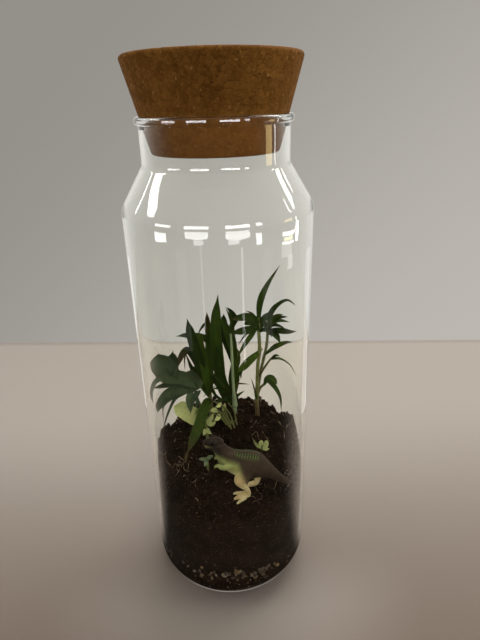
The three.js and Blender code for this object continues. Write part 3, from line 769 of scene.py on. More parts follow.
class TERRARIUM_OT_gravel(Operator):
    """Lays the gravel in the rounded foot: stones against the glass over dark siftings"""

    bl_idname = "terrarium.gravel"
    bl_label = "Gravel"

    def execute(self, context):
        look = context.scene.terrarium_ground
        self.siftings(look)
        self.stones(look)
        return {"FINISHED"}

    def siftings(self, look):
        """A body that fills the foot, pressed against the glass up to the top of the gravel."""
        angles = turns(GRAVEL_SIDES)
        rows = [[Vector((*around(ring, angle), FLOOR + 0.5)) for angle in angles] for ring in (8, 16, 23)]
        for run in np.linspace(0, 32, 24):
            inset = between(-0.5, 0.7, smoothstep(*GRAVEL_RUN, run))
            rows.append([foot_spot(angle, run, inset) for angle in angles])
        points = [Vector((0, 0, FLOOR + 0.5))]
        points += [
            spot + spot.normalized() * -0.4 * abs(noise.noise(spot * 0.9)) for row in rows for spot in row
        ]
        top = GRAVEL_Z + 1
        closing = (30, 15)
        points += [Vector((*around(ring, angle), top)) for ring in closing for angle in angles]
        points.append(Vector((0, 0, top)))
        faces = turned_faces(len(rows) + len(closing), len(angles))
        mesh = mesh_of("gravel_siftings", points, faces)
        piece("gravel_siftings", mesh, [], [soil_finish(look, "siftings", 0.6)])

    def stones(self, look):
        """Stones under the siftings and along the glass, up to an uneven top that is lower at the sides."""
        rng = np.random.default_rng(21)
        spots = []
        while len(spots) < look.stones:
            size = 1.2 + 2.8 * rng.random() ** 2
            run, angle = rng.uniform(-6, 44), rng.uniform(0, 2 * math.pi)
            if run < 0:
                reach = 24 * math.sqrt(rng.random())
                spot = Vector((*around(reach, angle), FLOOR + 0.1 + size * 0.4))
            else:
                pressed = between(0.4, 0, smoothstep(*GRAVEL_RUN, run))
                spot = foot_spot(angle, run, size * 0.4 - pressed)
                level = GRAVEL_Z + 3 - 9 * math.cos(angle) ** 2
                level += 3 * noise.noise(Vector((*around(1, angle), 0)) * 2.3)
                if rng.random() > smoothstep(level + 6, level - 3, spot.z) + 0.02:
                    continue
            spots.append((*spot, size, 0.85))
        stones = grains("gravel_stones", spots, 2, 0.26, rng)
        piece("gravel_stones", stones, ["gravel_layer"], [stone_finish(look)])


def soil_side(angle, low, share):
    """A dented place on the heap's side; share runs from its foot to its rim."""
    edge = crumbly_top(*around(soil_radius(angle, SOIL_RIM), angle))
    z = between(low, edge - 0.4, share)
    spot = Vector((*around(1, angle), 0)) * 41 + Vector((0, 0, z))
    dent = 0.5 * abs(noise.noise(spot * 0.28)) + 0.3 * abs(noise.noise(spot * 1.1))
    bared = 0.9 * (1 - smoothstep(GRAVEL_Z + 2, GRAVEL_Z + 9, z))
    return Vector((*around(soil_radius(angle, z) - dent - bared, angle), z))


class TERRARIUM_OT_soil(Operator):
    """Heaps the soil and strews crumbs, grit and rootlets over it"""

    bl_idname = "terrarium.soil"
    bl_label = "Soil"

    def execute(self, context):
        look = context.scene.terrarium_ground
        dirt = soil_finish(look)
        self.heap(dirt)
        rng = np.random.default_rng(5)
        self.crumbs(look, dirt, rng)
        self.specks(look, rng)
        self.rootlets(look)
        return {"FINISHED"}

    def heap(self, dirt):
        """The heap, from its flat foot up the glass and over its crumbly top."""
        angles = turns(SOIL_SIDES)
        low = GRAVEL_Z - 1

        def ring(radius, height):
            places = [around(radius, angle) for angle in angles]
            return [Vector((x, y, height(x, y))) for x, y in places]

        rows = [ring(radius, lambda x, y: low) for radius in (12, 24, 34)]
        rows += [[soil_side(angle, low, share) for angle in angles] for share in np.linspace(0, 1, 46)]
        rows += [ring(radius, crumbly_top) for radius in np.linspace(39.6, 0.7, 58)]
        points = [Vector((0, 0, low)), *(point for row in rows for point in row)]
        points.append(Vector((0, 0, crumbly_top(0, 0))))
        mesh = mesh_of("soil_heap", points, turned_faces(len(rows), len(angles)))
        piece("soil_heap", mesh, ["soil"], [dirt])

    def crumbs(self, look, dirt, rng):
        """Loose crumbs with a clod now and then, and more clods round the rim."""
        crumbs, clods = [], []
        for i in range(look.crumbs):
            large = i % 24 == 0
            size = rng.uniform(2.6, 6) if large else 0.5 + 2.3 * rng.random() ** 3
            angle = rng.uniform(0, 2 * math.pi)
            reach = min(41 * math.sqrt(rng.random()), soil_radius(angle, SOIL_RIM) - size * 0.5)
            x, y = around(reach, angle)
            if large and from_figure(x, y) < CALM_REACH:
                continue
            z = crumbly_top(x, y) + size * rng.uniform(-0.25, 0.3)
            (clods if large else crumbs).append((x, y, z, size, 0.8))
        for angle in np.linspace(0, 2 * math.pi, look.rim_clods, endpoint=False):
            angle += rng.uniform(-0.03, 0.03)
            size = rng.uniform(1.6, 3.6)
            x, y = around(soil_radius(angle, SOIL_RIM) - size * rng.uniform(0.5, 1.4), angle)
            clods.append((x, y, crumbly_top(x, y) + size * rng.uniform(0, 0.7), size, 0.8))
        piece("soil_crumbs", grains("soil_crumbs", crumbs, 1, 0.3, rng), [], [dirt], 20)
        piece("soil_clods", grains("soil_clods", clods, 3, 0.22, rng), [], [dirt])

    def specks(self, look, rng):
        """Tiny pale bits on top, and a few along the glass: partly grit, partly painted highlights that
        stand in for glints on the moist soil.
        """
        spots = []
        for i in range(look.specks):
            angle, size = rng.uniform(0, 2 * math.pi), 0.3 + 0.6 * rng.random() ** 3
            if i % 12:
                x, y = around(40.5 * math.sqrt(rng.random()), angle)
                spots.append((x, y, crumbly_top(x, y) + 0.1, size, 0.7))
            else:
                z = rng.uniform(GRAVEL_Z, 66)
                spots.append((*around(soil_radius(angle, z) - size * 0.3, angle), z, size, 0.5))
        mesh = grains("soil_specks", spots, 1, 0.3, rng)
        piece("soil_specks", mesh, [], [stone_finish(look)])

    def rootlets(self, look):
        """Fine roots that wander over the soil in short steps."""
        roots = Growth(11)
        rng, pace = roots.rng, 1.5
        for _ in range(look.rootlets):
            angle, heading = rng.uniform(0, 2 * math.pi), rng.uniform(0, 2 * math.pi)
            x, y = around(39 * math.sqrt(rng.random()), angle)
            turn = rng.uniform(-0.7, 0.7)
            path = []
            for i in range(rng.randint(4, 8)):
                lift = rng.uniform(0.1, 0.9) if 0 < i < 6 else -0.5
                path.append((x, y, crumbly_top(x, y) + lift))
                heading += turn + rng.uniform(-0.5, 0.5)
                x, y = x + pace * math.cos(heading), y + pace * math.sin(heading)
                if math.hypot(x, y) > 40:
                    break
            if len(path) > 2:
                roots.stem(0.14, 0.07, path, 5, 0)
        piece("rootlets", roots.mesh("rootlets"), [], [root_finish(look)])


# Plants

# Half the width of a leaf along its length, as shares of the widest place
LANCE = (0.18, 0.66, 0.97, 0.94, 0.7, 0.37, 0.1)
STRAP = (0.25, 0.7, 0.97, 0.97, 0.82, 0.5, 0.12)
TAPER = (0.4, 0.95, 0.95, 0.7, 0.5, 0.32, 0.15)
ROUNDED = (0.25, 0.85, 1, 1, 0.97, 0.88, 0.7)
BLADE = (0.18, 0.52, 0.86, 1, 0.97, 0.76, 0.14)
BROAD = (0.3, 0.85, 1, 1, 1, 0.92, 0.66)
SMALL = (0.2, 0.85, 1, 0.65, 0.15)
# How deep a leaf is folded and its edges wave, and how thick half of it is at the midrib and the edge
KEEL = 0.16
WAVE = 0.16
THICK, THIN = 0.2, 0.08
# The least half-width of a leaf
THINNEST = 0.06
# Leaves turn their upper sides to the front and up
OUTLOOK = Vector((0, -1, 0.45)).normalized()


def planted(x, y):
    """The straight foot of a stalk, from its root to just above the soil."""
    return (x, y, soil_top(x, y) - 8), (x, y, soil_top(x, y) + 1)


def stalk(low, high, *path):
    """A row for a stalk: its radius at the foot and at the top, and the points it runs through."""
    return "stalk", (low, high), 0, path


def leaf(outline, width, *path, age=0.0):
    """A row for a leaf: its outline, full width and path, and its age from 0, fresh, to 1, dry."""
    return "leaf", (outline, width), age, path


PALM_RIGHT = [
    stalk(1.3, 0.85, *planted(18, 15), (17.7, 15, 97), (18, 14, 108), (18.4, 14, 121), (19.5, 14, 131),
          (19, 14, 144), (19, 14, 150.5)),
    stalk(0.9, 0.8, (17.8, 15, 95), (18.6, 16, 105), (21, 17, 119), (23.8, 18, 131), (24.5, 18, 142),
          (24.5, 18, 147.5)),
    leaf(LANCE, 3.6, (18.9, 14, 145), (19.8, 13, 159), (23.4, 12, 169), (30, 11, 180)),
    leaf(TAPER, 3, (24.4, 18, 145), (26.5, 16, 153), (30.2, 12, 159), (34, 8, 162), (37.6, 4, 160.5)),
    leaf(LANCE, 3, (24.5, 18, 145), (29.4, 18, 148), (35.4, 14, 150)),
    leaf(LANCE, 2.2, (24.5, 18, 144), (30, 14, 148), (35.6, 9, 149)),
    leaf(LANCE, 3.4, (24.6, 18, 141), (30.3, 12, 143), (35, 8, 144), (38.7, 4, 146)),
    leaf(LANCE, 4, (24.6, 18, 141), (28.4, 14, 139.5), (30.8, 11, 135.7)),
    leaf(LANCE, 3.4, (19, 14, 146), (23, 17, 149), (26.5, 18, 152)),
    leaf(LANCE, 3, (22.6, 17.5, 125.5), (27.7, 12, 133.5), (32.6, 8, 137.7), (36.9, 5, 139.3)),
    leaf(BLADE, 4.2, (21, 15, 131), (17.5, 13, 128.5), (13, 10, 126), (10, 8, 124), (6.5, 7, 122)),
    leaf(LANCE, 1.8, (10, 8, 124), (8.5, 8, 121), (8.5, 9, 115.5)),
    stalk(0.65, 0.55, (18.3, 15, 112), (22.6, 11, 122.5), (25.3, 8, 128.6)),
    leaf(LANCE, 1.6, (25, 8, 128), (27.5, 6, 131.2), (29.5, 4, 131.8)),
    leaf(TAPER, 1.3, (25, 8, 128), (29.6, 5, 129.8), (34.7, 3, 127), (38.5, 2, 120.5), age=0.25),
    stalk(0.8, 0.7, (18, 15, 100), (19.5, 14, 106), (21.7, 12, 110)),
    leaf(LANCE, 2.9, (21.5, 12, 109), (23.5, 10, 113.5), (27, 8, 111), (30, 5, 105.5), (30.5, 3, 97.5)),
    leaf(BLADE, 3, (21.5, 12, 109), (23, 11, 114), (26, 10, 115), (29, 9, 111)),
    leaf(TAPER, 1.6, (17.8, 14.8, 96.5), (16.4, 12, 106), (14.2, 10, 115.6), age=0.5),
    leaf(STRAP, 4.6, (19.5, 14, 146), (16, 11, 151), (11.5, 8, 153.5), (8, 7, 153.5), (4.5, 6, 153.5),
         age=0.3),
    leaf(STRAP, 4.4, (19, 14, 144), (14, 11.5, 144.5), (8.5, 9, 145), (3.5, 7, 145)),
    leaf(LANCE, 2.8, (18.5, 14, 144), (12.5, 12, 137.5), (5.5, 10, 127)),
    leaf(LANCE, 1.8, (18.5, 14.5, 144.5), (13.5, 15, 142), (7.5, 14.5, 134)),
    # Short leaves that fill the crown
    leaf(BLADE, 3.4, (19.5, 13.5, 142), (17.5, 12, 147), (14, 10, 149.5), (10.5, 9, 149)),
    leaf(BLADE, 3.2, (19, 14.5, 142), (21, 15, 146.5), (22.5, 16, 151)),
    leaf(BLADE, 3, (24.5, 18, 141), (22, 17, 146), (19, 15, 150.5)),
    leaf(LANCE, 2.6, (24.5, 17.5, 141.5), (26, 16, 147.5), (29, 14, 151), (32.5, 12, 152.5)),
    leaf(LANCE, 2.4, (19, 14, 141.5), (21.5, 13, 143.5), (24, 12, 143), (26, 11, 139.5)),
    leaf(LANCE, 2.2, (24.5, 17.5, 140), (26.5, 16, 144.5), (30, 14, 145), (33.5, 12, 144)),
    leaf(LANCE, 2, (24.5, 17.5, 138.5), (27.5, 16, 139.5), (31, 13, 139)),
    leaf(LANCE, 1.1, (19, 14, 149), (15.5, 15, 152.5), (12, 16, 153.8), age=0.6),
]
PALM_CENTRE = [
    stalk(1.1, 0.6, *planted(5, 24), (4.6, 20.5, 96.5), (4.2, 17.5, 110), (4.1, 17, 126), (3.9, 18, 139.5)),
    stalk(1.6, 1.1, (5, 23.5, 88.5), (4.8, 22, 93), (4.5, 19.5, 99)),
    leaf(BLADE, 6.6, (4.6, 24, 90), (-1.5, 23, 98), (-3.8, 20.5, 120), (-4.2, 18, 145), (-2.1, 17, 163.3)),
    leaf(LANCE, 3.6, (3.4, 22, 137), (6, 20, 147), (4.4, 18, 152.6), (1.9, 16, 156.4)),
    leaf(LANCE, 3.6, (3.2, 22, 140), (7, 21, 147), (12, 20, 150)),
    leaf(BLADE, 5, (4.4, 23.3, 116.5), (1.6, 22, 132), (0.3, 21, 142), (0.5, 20, 151)),
    leaf(LANCE, 3, (4.5, 24, 93.5), (3, 26, 105), (5, 27, 119), (4.5, 27, 134.5)),
    leaf(STRAP, 3.8, (4.4, 24, 93), (-1, 19, 109), (-2.7, 16, 123), (-4.4, 14, 137)),
    leaf(LANCE, 3.6, (4.6, 24, 91), (-2.5, 29, 104), (-5, 32, 118), (-1.3, 33, 139)),
    leaf(LANCE, 3, (4.6, 24, 92), (6.8, 24.5, 107), (6.4, 24.5, 118), (6.1, 24, 129)),
    leaf(STRAP, 1.1, (4.4, 22, 103), (7, 21, 105.5), (13.8, 18.5, 106.3), age=0.7),
    leaf(SMALL, 1.9, (4.8, 24, 93), (6.5, 20, 98), (10.7, 18, 102.4), age=0.2),
    # Finer leaves that fill the crown
    leaf(BLADE, 3.8, (2.5, 24, 93.5), (-2, 25, 111), (-6, 26, 125.5), (-11, 25, 134), (-19, 22, 137.5),
         (-26.5, 19, 139)),
    leaf(BLADE, 3.8, (0, 26, 99.5), (-5.5, 28, 113.5), (-8.5, 29, 130.5), (-9, 29, 140.5), (-9, 29, 148.5),
         age=0.4),
    leaf(BLADE, 4.6, (4, 22, 99), (6, 21, 117), (4, 20, 132.5), (1.5, 19, 142.5), (-1, 18, 150.5)),
    leaf(LANCE, 3.8, (3.5, 22, 107), (5.5, 21, 124), (4.5, 20, 137.5), (4.5, 18, 146.5), (1.5, 17, 156)),
    leaf(LANCE, 3.2, (3.5, 22, 94), (0, 19, 105), (-4.5, 17, 112), (-9, 16, 117)),
    leaf(LANCE, 2.8, (2, 22, 92.5), (-0.5, 19, 102), (-4, 17, 105.5), (-8.5, 16, 106)),
    leaf(LANCE, 3.8, (1, 24, 93), (-4.5, 26, 102.5), (-9.5, 27, 111.5), (-12.5, 27, 121)),
    leaf(LANCE, 3.2, (1.5, 25, 92), (-2, 28, 106), (-4.5, 29, 115.5), (-6.5, 30, 123.5)),
    leaf(SMALL, 2.4, (2, 22, 97.5), (-1.5, 18, 97.5), (-5.5, 16, 97)),
    leaf(LANCE, 1.8, (-0.5, 22, 93.5), (-5.5, 20, 98), (-9, 19, 105.5), (-11, 19, 112.5)),
    leaf(STRAP, 0.8, (-8, 20, 95.5), (-11, 20, 106), (-13, 21, 112), age=0.4),
    leaf(STRAP, 0.8, (-11, 21, 95.5), (-8, 20, 105), (-6.5, 20, 112.5), age=0.4),
    leaf(STRAP, 0.7, (-13.5, 19, 99), (-9.5, 19, 103.5), (-4, 19, 107.5), age=0.5),
    leaf(STRAP, 0.8, (-5, 20, 96), (-7.5, 21, 102.5), (-10.5, 21, 108.5), age=0.4),
    leaf(LANCE, 1.8, (6, 23, 112), (8, 23, 118.5), (8, 24, 124.5), (5, 25, 130)),
]
PALM_LEFT = [
    stalk(1.3, 1, *planted(-9, 19), (-9.3, 19, 94), (-9.5, 19, 101)),
    leaf(BLADE, 5.8, (-9.5, 19, 98), (-12.5, 17, 112.5), (-15, 14, 129.5), (-17.5, 12.5, 142),
         (-19, 12, 152.5)),
    leaf(LANCE, 4.2, (-9.3, 19, 99), (-9.2, 23, 118), (-8.8, 25, 136), (-9, 26, 149.4), age=0.3),
    leaf(LANCE, 1.8, (-8, 25, 138.5), (-10, 26, 142), (-12.5, 27, 139.5), (-15, 27, 135), age=0.4),
    leaf(LANCE, 3.4, (-9.5, 19, 99), (-12.5, 19, 118), (-15.5, 18, 134), (-20, 16, 141), (-25.7, 14, 141.2)),
    leaf(STRAP, 4, (-11, 19, 103), (-16, 21, 119.5), (-20, 21, 128.5), (-23.5, 22, 127),
         (-27, 23, 120), (-30, 23, 114), age=0.5),
    leaf(TAPER, 1.6, (-18.8, 21, 130), (-22.6, 22, 125), (-23.5, 22.5, 115.5), age=0.5),
    leaf(LANCE, 3.6, (-9.5, 19, 97), (-15, 23, 106), (-19.5, 26, 114), (-23, 27, 125)),
    leaf(BLADE, 4.4, (-9.4, 19, 98), (-11, 16, 112), (-12.4, 15, 131), (-13.5, 16, 143)),
    leaf(LANCE, 4, (-9.4, 19, 98), (-9, 26, 111), (-7.5, 29, 127), (-8, 30, 139)),
    leaf(BLADE, 6, (-9, 19, 94.5), (-11, 13, 100), (-13, 4, 99), (-15.5, -1, 94), (-18.5, -5, 89),
         (-22.5, -8, 81), age=0.32),
    leaf(LANCE, 1.5, (-22.5, -8, 82), (-23.5, -10, 79), (-23.5, -11, 76), age=0.9),
    # Finer leaves between them
    leaf(LANCE, 3.4, (-12, 22, 100), (-15, 24, 109.5), (-17, 25, 114.5), (-20.5, 26, 115.5)),
    leaf(LANCE, 3, (-11, 23, 99), (-12, 26, 109), (-11.5, 28, 119.5), (-12.5, 29, 127.5)),
    leaf(LANCE, 3.6, (-11, 22, 101), (-12.5, 20, 109.5), (-13.5, 19, 120), (-12.5, 19, 128)),
]
GREY_FROND = [
    stalk(0.95, 0.8, *planted(-17, 13), (-17, 13, 98), (-17.4, 12, 107), (-18, 10.5, 114)),
    stalk(0.7, 0.6, (-18, 10.6, 112.5), (-22.5, 5, 117.5), (-28, 1.5, 122)),
    leaf(ROUNDED, 12.6, (-27.2, 2, 121), (-30.8, 0, 128.5), (-32.3, -1.5, 134), (-33.8, -2.5, 140)),
    leaf(LANCE, 4.6, (-28.5, 1, 123), (-28.3, 0, 133), (-26.2, 0, 140.2)),
    leaf(TAPER, 5, (-18, 10.6, 113), (-24, 5, 120), (-29.4, 2, 123.6), (-35.5, -4, 125.3),
         (-38.2, -7.5, 121), (-38.3, -8, 114.5), age=0.1),
    leaf(LANCE, 2.4, (-18, 10.7, 112.5), (-26, 7, 115.3), (-37.2, 3, 116.6)),
    leaf(LANCE, 6.2, (-18, 10.7, 112), (-22.5, 5, 114.2), (-27.5, 2, 115), (-33.2, -3, 114.5),
         (-36.2, -5, 107.5)),
    leaf(TAPER, 2.8, (-17.8, 11.2, 110), (-23, 7, 110.5), (-28.2, 4, 108.4), (-32.3, 1, 101.5),
         (-36, 0, 91.5), age=0.15),
    leaf(TAPER, 1.7, (-17.7, 11.4, 109), (-27, 9, 107.5), (-34.3, 10, 102), (-36.8, 10, 97.5),
         (-37, 10, 89)),
    leaf(LANCE, 5, (-18, 10.7, 112.5), (-19.5, 8, 117), (-22, 6.5, 121), (-26, 6, 124)),
    leaf(LANCE, 3.6, (-17.9, 11, 111), (-20.3, 5, 109), (-20.7, 3, 105), (-19.9, 2, 99.5)),
    leaf(SMALL, 2, (-17.8, 11.1, 110.5), (-16.3, 6, 106), (-13.8, 5, 102)),
    # Finer leaves over the same frond
    leaf(BROAD, 7, (-23.5, 3, 118.5), (-28, 2, 124), (-27.5, 1, 131.5), (-26, 0, 138.5)),
    leaf(BROAD, 7.4, (-16, 9, 113), (-20.5, 4.5, 120), (-25.5, 2, 123.5), (-30.5, 0, 125), (-35, -3, 125)),
    leaf(LANCE, 6, (-16, 9, 111.5), (-20.5, 6, 117.5), (-26.5, 3, 120), (-32.5, -1, 120.5),
         (-38.5, -5, 121)),
    leaf(BLADE, 5.4, (-15.5, 10, 110.5), (-20, 6, 112.5), (-26, 3, 114.5), (-31, -1, 115),
         (-35, -4.5, 111.5), (-37, -5.5, 106.5)),
    leaf(BROAD, 6, (-14, 12, 110.5), (-16, 10, 114), (-18.5, 9, 119), (-21.5, 8, 122.5)),
    leaf(LANCE, 3.4, (-14.5, 11, 108.5), (-17, 8, 107.5), (-18.5, 5, 106), (-20.5, 3, 98.5)),
]
CREEPER = [
    stalk(0.9, 0.7, *planted(-12, 6), (-12.4, 5.4, 88), (-12.9, 4.6, 91.5)),
    leaf(BROAD, 9.4, (-12.5, 6, 89), (-15.5, 7, 91.5), (-20, 6.5, 95.5), (-24.5, 5, 100.5),
         (-29.5, 3, 104)),
    leaf(BLADE, 3.2, (-12.5, 6, 88.5), (-13.5, 6.5, 92.5), (-15, 7, 97), (-15.5, 8, 99.5)),
    leaf(SMALL, 3, (-12.5, 6, 89), (-13, 4, 93), (-14.5, 2, 96.5)),
    leaf(SMALL, 2.6, (-12.5, 6, 86.5), (-11, 3, 86.5), (-9, 0, 86.5)),
    leaf(SMALL, 2.8, (-12, 5.5, 89.5), (-9.5, 4.5, 93.5), (-7.5, 4, 97.5)),
    leaf(SMALL, 2.4, (-11.5, 5.5, 89), (-8.5, 4, 90.5), (-6.5, 3, 93)),
    leaf(SMALL, 2.6, (-12.5, 6, 86), (-13, 3, 86), (-14, 1, 85)),
]
RUNNER = [
    stalk(0.7, 0.6, *planted(2.4, 12), (-1.5, 12, 87), (-4.8, 12, 91.5), (-6.6, 12, 94)),
    stalk(0.6, 0.5, (1.6, 12, 84), (-0.3, 12.5, 88), (-2.5, 13, 93)),
    leaf(SMALL, 3, (-5.5, 11, 93.5), (-7.5, 8, 97), (-9.5, 6, 98)),
    leaf(SMALL, 2.8, (-4.5, 11, 92), (-5.5, 8, 91.5), (-7.5, 6, 91)),
    leaf(SMALL, 2.2, (-2.5, 13, 92.5), (-1.5, 12, 96), (-1, 11, 99.5)),
    leaf(SMALL, 2, (-3, 10, 100.5), (-4.5, 9, 99), (-6.5, 8, 99)),
    stalk(0.45, 0.35, (2, 9, 82.5), (0, 10, 92), (-3, 10, 99), (-7.5, 9, 102)),
    stalk(0.4, 0.35, (1, 9, 84), (-3, 10, 93), (-7.5, 9, 97), (-11, 8, 95.5)),
    stalk(0.4, 0.3, (4, 9, 83.5), (1.5, 10, 92.5), (-2, 11, 97), (-6, 11, 99)),
    stalk(0.4, 0.3, (-0.5, 8, 86.5), (-4.5, 9, 91.5), (-8.5, 8, 94.5), (-11.5, 7, 92.5)),
    stalk(0.4, 0.3, (5.5, 10, 84.5), (4, 12, 93), (1, 13, 98)),
]
PALE_SPRIG = [
    stalk(0.7, 0.6, *planted(19, -1), (19, -1.4, 78.5)),
    leaf(LANCE, 1.7, (19, -1, 75.5), (16, -2, 79), (13, -1.5, 84.5), age=0.45),
    leaf(ROUNDED, 2.8, (18.9, -1.3, 77.8), (18.3, -3, 80), (18.3, -3.6, 83.4)),
    leaf(ROUNDED, 2.8, (19.1, -1.2, 77.3), (21, -3, 79.5), (21.3, -3.6, 83.2)),
    leaf(SMALL, 2.2, (19, -1.2, 76.4), (21, -3, 76.8), (23, -4, 77.5)),
]
FRONT_SPRIG = [
    stalk(0.7, 0.6, *planted(-12, -8), (-12, -8.4, 77)),
    leaf(SMALL, 2.4, (-12, -8.2, 75.5), (-14, -9.5, 77.5), (-16.6, -10, 77.8)),
    leaf(SMALL, 2.4, (-12, -8.2, 76), (-10.5, -9.5, 78.5), (-8.4, -10, 79.6)),
    leaf(SMALL, 2.4, (-12, -8.2, 75), (-12.8, -10.5, 75.5), (-13.6, -12.5, 74.5)),
]


class Growth:
    """Gathers the closed blades and stalks of one plant, with the marks that its finish reads."""

    # Places across a leaf, as shares of half its width
    ACROSS = (-1, -0.75, -0.4, 0, 0.4, 0.75, 1)

    def __init__(self, seed):
        self.rng = random.Random(seed)
        self.points, self.faces, self.looks = [], [], []
        self.marks = {name: [] for name in ("rib", "run", "tone", "age", "under")}

    def body(self, rings, ribs, unders, tone, age, look):
        """A closed body through rings of equal count."""
        sides = len(rings[0])
        faces = tube_faces(len(self.points), len(rings), sides)
        for i, ring in enumerate(rings):
            self.points += ring
            self.marks["rib"] += ribs
            self.marks["under"] += unders
            self.marks["run"] += [i / (len(rings) - 1)] * sides
            self.marks["tone"] += [tone] * sides
            self.marks["age"] += [age] * sides
        self.faces += faces
        self.looks += [look] * len(faces)

    def blade(self, outline, width, age, path):
        """A thin leaf, folded along its midrib, with a slow twist and lightly waved edges."""
        rng = self.rng
        steps = (5 if width > 2.5 else 4) * (len(outline) - 1)
        phases = rng.uniform(0, 6), rng.uniform(0, 6)
        waves, twist = rng.uniform(1.2, 2.4), rng.uniform(-0.22, 0.22)
        rings = []
        for i in range(steps + 1):
            at = i / steps
            along = curve_direction(path, at)
            across = along.cross(OUTLOOK).normalized()
            up = across.cross(along).normalized()
            turn = Matrix.Rotation(twist * math.sin(math.pi * at), 3, along)
            across, up = turn @ across, turn @ up
            # The end is rounded off, however blunt the outline
            share = max(curve_value(outline, at), 0.02) * min(1, math.sqrt(8 * (1.004 - at)))
            half = max(share * width / 2, THINNEST)
            top, under = [], []
            for s in self.ACROSS:
                wave = math.sin(waves * 2 * math.pi * at + phases[s > 0]) * s * s * half * WAVE
                fold = abs(s) ** 1.2 * KEEL * width * between(0.5, 1, share)
                spot = curve_point(path, at) + across * s * half + up * (fold + wave)
                thick = between(THICK, THIN, s * s) * min(1, 0.4 + half)
                top.append(spot + up * thick)
                under.append(spot - up * thick)
            rings.append(top + under[::-1])
        count = len(self.ACROSS)
        ribs = list(self.ACROSS) + list(self.ACROSS[::-1])
        self.body(rings, ribs, [0] * count + [1] * count, rng.random(), age, 0)

    def stem(self, low, high, path, sides=12, look=1):
        """A round stalk with faint swellings where leaves have stood."""
        steps = 6 * (len(path) - 1)
        tone = self.rng.random()
        rings = []
        for i in range(steps + 1):
            at = i / steps
            along = curve_direction(path, at)
            across = (Vector((1, 0, 0)) - along * along.x).normalized()
            back = along.cross(across)
            knot = 1 + 0.13 * max(0, math.sin(at * 19 + tone * 6)) ** 8
            radius = between(low, high, at) * knot
            spot = curve_point(path, at)
            rings.append([
                spot + (across * math.cos(turn) + back * math.sin(turn)) * radius
                for turn in turns(sides)
            ])
        ribs = [math.sin(turn) for turn in turns(sides)]
        self.body(rings, ribs, [0] * sides, tone, 0, look)

    def mesh(self, name):
        made = mesh_of(name, self.points, self.faces, self.marks, self.looks)
        shell = bmesh.new()
        shell.from_mesh(made)
        bmesh.ops.recalc_face_normals(shell, faces=shell.faces)
        shell.to_mesh(made)
        shell.free()
        return made


def leaf_finish(name, look, deep, fresh, specks=False):
    """A leaf between two tones, with veins and a midrib, that is dry towards the tip as it ages."""
    finish = Finish(name)
    rib, run, tone, age, under = (finish.mark(m) for m in ("rib", "run", "tone", "age", "under"))
    cloud = finish.noise(230, 3)
    ground = finish.mix((tone * 0.55 + cloud * 0.6 - 0.1).ramp(0, 1), deep, fresh)
    veins = (rib * 24).sine() * 0.5 + 0.5
    ground = finish.mix(veins * 0.08, ground, fresh)
    if specks:
        uneven = finish.shifted(700, 0.0006)
        dots = finish.cells(1000, place=uneven).ramp(0.36, 0.24)
        dots = dots * finish.cell_tone(1000, uneven).ramp(0.25, 0.5)
        ground = finish.mix(dots * 0.8 + cloud.ramp(0.5, 0.8) * 0.35, ground, look.speck)
    midrib = abs(rib).ramp(0.1, 0.02)
    ground = finish.mix(midrib * 0.5, ground, fresh)
    ground = finish.mix(under * 0.12, ground, look.grey_fresh)
    dryness = (age * 1.1 + run * 0.55 + cloud * 0.35 - 0.86).ramp(0, 0.3)
    ground = finish.mix(dryness * 0.9, ground, look.dry)
    relief = veins * 0.25 + midrib * 0.4 + finish.noise(900, 2) * 0.3
    return finish.done(finish.principled(
        Base_Color=ground, Roughness=0.42 + cloud * 0.25, Specular_IOR_Level=0.12,
        Subsurface_Weight=0.15, Subsurface_Scale=0.0006,
        Normal=finish.bump(relief, 0.45, 0.0001),
    ))


def stem_finish(name, look, high, browned):
    """A stem that is brown up to the share browned of its length, with a painted highlight: a pale stripe
    down one side.
    """
    finish = Finish(name)
    rib, run, tone = (finish.mark(m) for m in ("rib", "run", "tone"))
    cloud = finish.noise(340, 3)
    height = run + cloud * 0.4 - 0.2
    ground = finish.mix(height.ramp(browned - 0.15, browned + 0.2), look.stem_low, high)
    # Painted highlight: a pale stripe down one side of the stem
    ground = finish.mix(rib.ramp(0.6, 0.95) * 0.16, ground, look.cream)
    ground = finish.mix(tone * 0.25, ground, look.deep)
    return finish.done(finish.principled(
        Base_Color=ground, Roughness=0.5, Specular_IOR_Level=0.2,
        Normal=finish.bump(finish.noise(1500, 3, place=finish.stretched(1, 1, 0.2)), 0.4, 0.0002),
    ))


def grow(name, node, rows, seed, finishes):
    """Grows one plant from its rows of stalks and leaves; finishes are of its leaves and its stalks."""
    plant = Growth(seed)
    for kind, sizes, age, path in rows:
        if kind == "stalk":
            plant.stem(*sizes, path)
        else:
            plant.blade(*sizes, age, path)
    return piece(name, plant.mesh(name), [node], finishes, 55)


